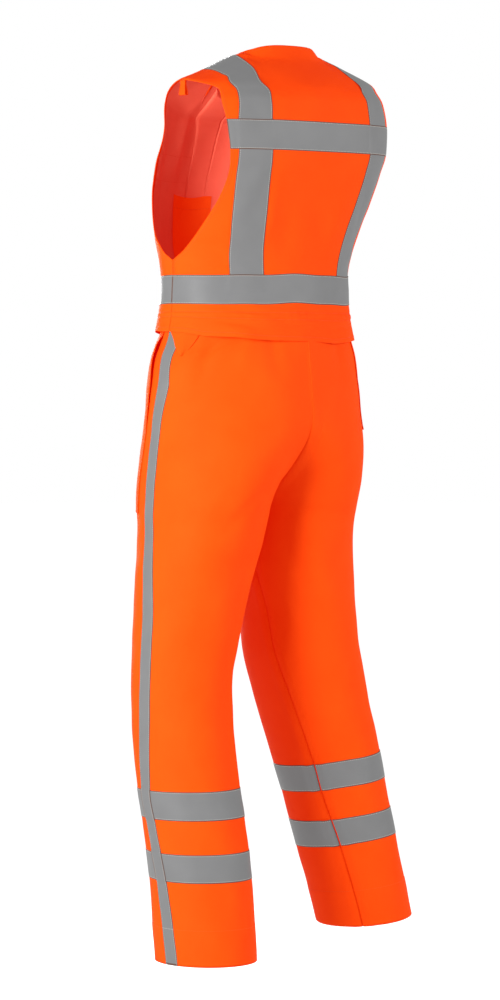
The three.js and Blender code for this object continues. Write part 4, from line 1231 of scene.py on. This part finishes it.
def make_hip_pocket(side):
    """Front pocket with a slanted side mouth that stands open."""
    inner, outer = ("first", "last") if side == "left" else ("last", "first")
    last = HIP_POCKET_LINES[1]
    def relief(across, drop, base):
        open_part = np.clip((POCKET_MOUTH_END - drop) / (POCKET_MOUTH_END - POCKET_TOP), 0, 1)
        open_part = open_part * smooth(POCKET_TOP, POCKET_TOP + 26, drop)
        return 8 * open_part * np.clip(1 - (last - across) / 2.5, 0, 1)
    name = f"hip_pocket_{side}"
    leg_piece(name, side, HIP_POCKET_LINES, (POCKET_TOP, POCKET_LOW), POCKET_LIFT, TWILL_FINISH,
              TWILL, relief, {edge: STRIP_HEM for edge in (inner, outer, "low")})
    stitch_beside(name, [(inner, POCKET_STITCHING), (outer, POCKET_STITCHING),
                         (outer, SECOND_STITCHING), ("low", POCKET_STITCHING)])

def make_tool_pocket():
    edges = ("first", "last", "low")
    leg_piece("tool_pocket_right", "right", TOOL_POCKET_LINES, (POCKET_TOP, TOOL_POCKET_LOW),
              POCKET_LIFT, TWILL_FINISH, TWILL, None, {edge: STRIP_HEM for edge in edges})
    stitch_beside("tool_pocket_right", [(edge, POCKET_STITCHING) for edge in edges])

FLY_DROPS, FLY_STITCHING = (640, 515), 2.4

def make_fly():
    left = leg_surface("left")
    def surface(across, drop):
        across, drop = np.broadcast_arrays(across, drop)
        point = left(np.abs(across) - INSEAM, drop)
        point[..., 0] *= np.where(across < 0, -1, 1)
        return point
    sheet = Sheet(surface, np.linspace(-1, 1, 15), np.linspace(*FLY_DROPS, 30), -1, POCKET_LIFT,
                  edges={"first": STRIP_HEM, "last": STRIP_HEM})
    sew_on("fly_cover", sheet, TWILL_FINISH, TWILL)
    stitch_beside("fly_cover", [("first", FLY_STITCHING), ("last", FLY_STITCHING)])

LOOP = {"length": 27, "width": 12, "wall": 1.2, "hollow": 1.6, "x": 196, "top": -45.3, "y": 16}

def make_shoulder_loop(side):
    """Folded loop hanging from the shoulder tip."""
    sign = 1 if side == "left" else -1
    radius = (LOOP["hollow"] + LOOP["wall"]) / 2
    straight = LOOP["length"] - radius - LOOP["wall"] / 2
    bend = np.pi * radius
    def surface(across, along):
        across, along = np.broadcast_arrays(np.asarray(across, float), np.asarray(along, float))
        arc = np.clip((along - straight) / radius, 0, np.pi)
        down = np.minimum(along, straight) - np.maximum(along - straight - bend, 0)
        open_end = 1 + 1.3 * smooth(0.2 * straight, straight, down)
        x = sign * LOOP["x"] + radius * open_end * np.cos(arc)
        z = LOOP["top"] - down - radius * np.sin(arc)
        return np.stack([x, LOOP["y"] + across * (0.75 + 0.25 * open_end), z], -1)
    columns = np.linspace(-LOOP["width"] / 2, LOOP["width"] / 2, 7)
    rows = np.concatenate([np.linspace(0, straight, 12)[:-1],
                           straight + np.linspace(0, bend, 9)[:-1],
                           straight + bend + np.linspace(0, straight, 12)])
    sheet = Sheet(surface, columns, rows, -1)
    sew_on(f"shoulder_loop_{side}", sheet, LOOSE_FINISH, LOOP["wall"])


# ---- stage ----
FLOOR_RADIUS, FLOOR_BELOW = 30, 0.5
LIT_PLACE = (0, 0, -0.7)
LAMPS = {  # place, size and power
    "key_light": ((2.6, 0.30, -0.35), 1.1, 285),
    "back_light": ((-1.9, 2.9, 0.3), 1.6, 225),
    "front_light": ((-1.5, -3.0, 0.2), 1.6, 300),
}

def make_stage():
    ground = bmesh.new()
    bmesh.ops.create_circle(ground, cap_ends=True, segments=96, radius=FLOOR_RADIUS)
    for vertex in ground.verts:
        vertex.co.z = cad_box[0][2] - FLOOR_BELOW
    mesh = bpy.data.meshes.new("studio_floor")
    ground.to_mesh(mesh)
    ground.free()
    paint, _, _, shader = new_material("pale_floor", 1, 0, (1, 1, 1))
    set_inputs(shader, {"Base Color": (0.3, 0.3, 0.3, 1), "Emission Strength": 0.84})
    mesh.materials.append(paint)
    add_object("studio_floor", mesh)

def make_light(name, place, size, power):
    lamp = bpy.data.lights.new(name, "AREA")
    lamp.shape, lamp.size, lamp.energy = "DISK", size, power
    light = add_object(name, lamp)
    light.location = place
    light.rotation_euler = (Vector(LIT_PLACE) - Vector(place)).to_track_quat("-Z", "Y").to_euler()

def make_studio():
    """A white backdrop that lights the garment less brightly than it looks."""
    make_stage()
    bpy.context.scene.view_settings.view_transform = "Standard"
    world = bpy.data.worlds.new("studio")
    bpy.context.scene.world = world
    world.use_nodes = True
    nodes, links = world.node_tree.nodes, world.node_tree.links
    backdrop, softbox = nodes["Background"], nodes.new("ShaderNodeBackground")
    set_inputs(backdrop, {"Color": (1, 1, 1, 1), "Strength": 1})
    set_inputs(softbox, {"Color": (1, 1, 1, 1), "Strength": 0.6})
    seen, either = nodes.new("ShaderNodeLightPath"), nodes.new("ShaderNodeMixShader")
    links.new(seen.outputs["Is Camera Ray"], either.inputs["Fac"])
    links.new(softbox.outputs["Background"], either.inputs[1])
    links.new(backdrop.outputs["Background"], either.inputs[2])
    links.new(either.outputs["Shader"], nodes["World Output"].inputs["Surface"])
    for name, lamp in LAMPS.items():
        make_light(name, *lamp)


make_back()
for side in ("left", "right"):
    make_front(side)
    make_brace(side)
    make_trousers(side)
    make_shoulder_loop(side)
make_placket()
make_inner_pocket()
make_tool_pocket()
make_fly()
make_studio()
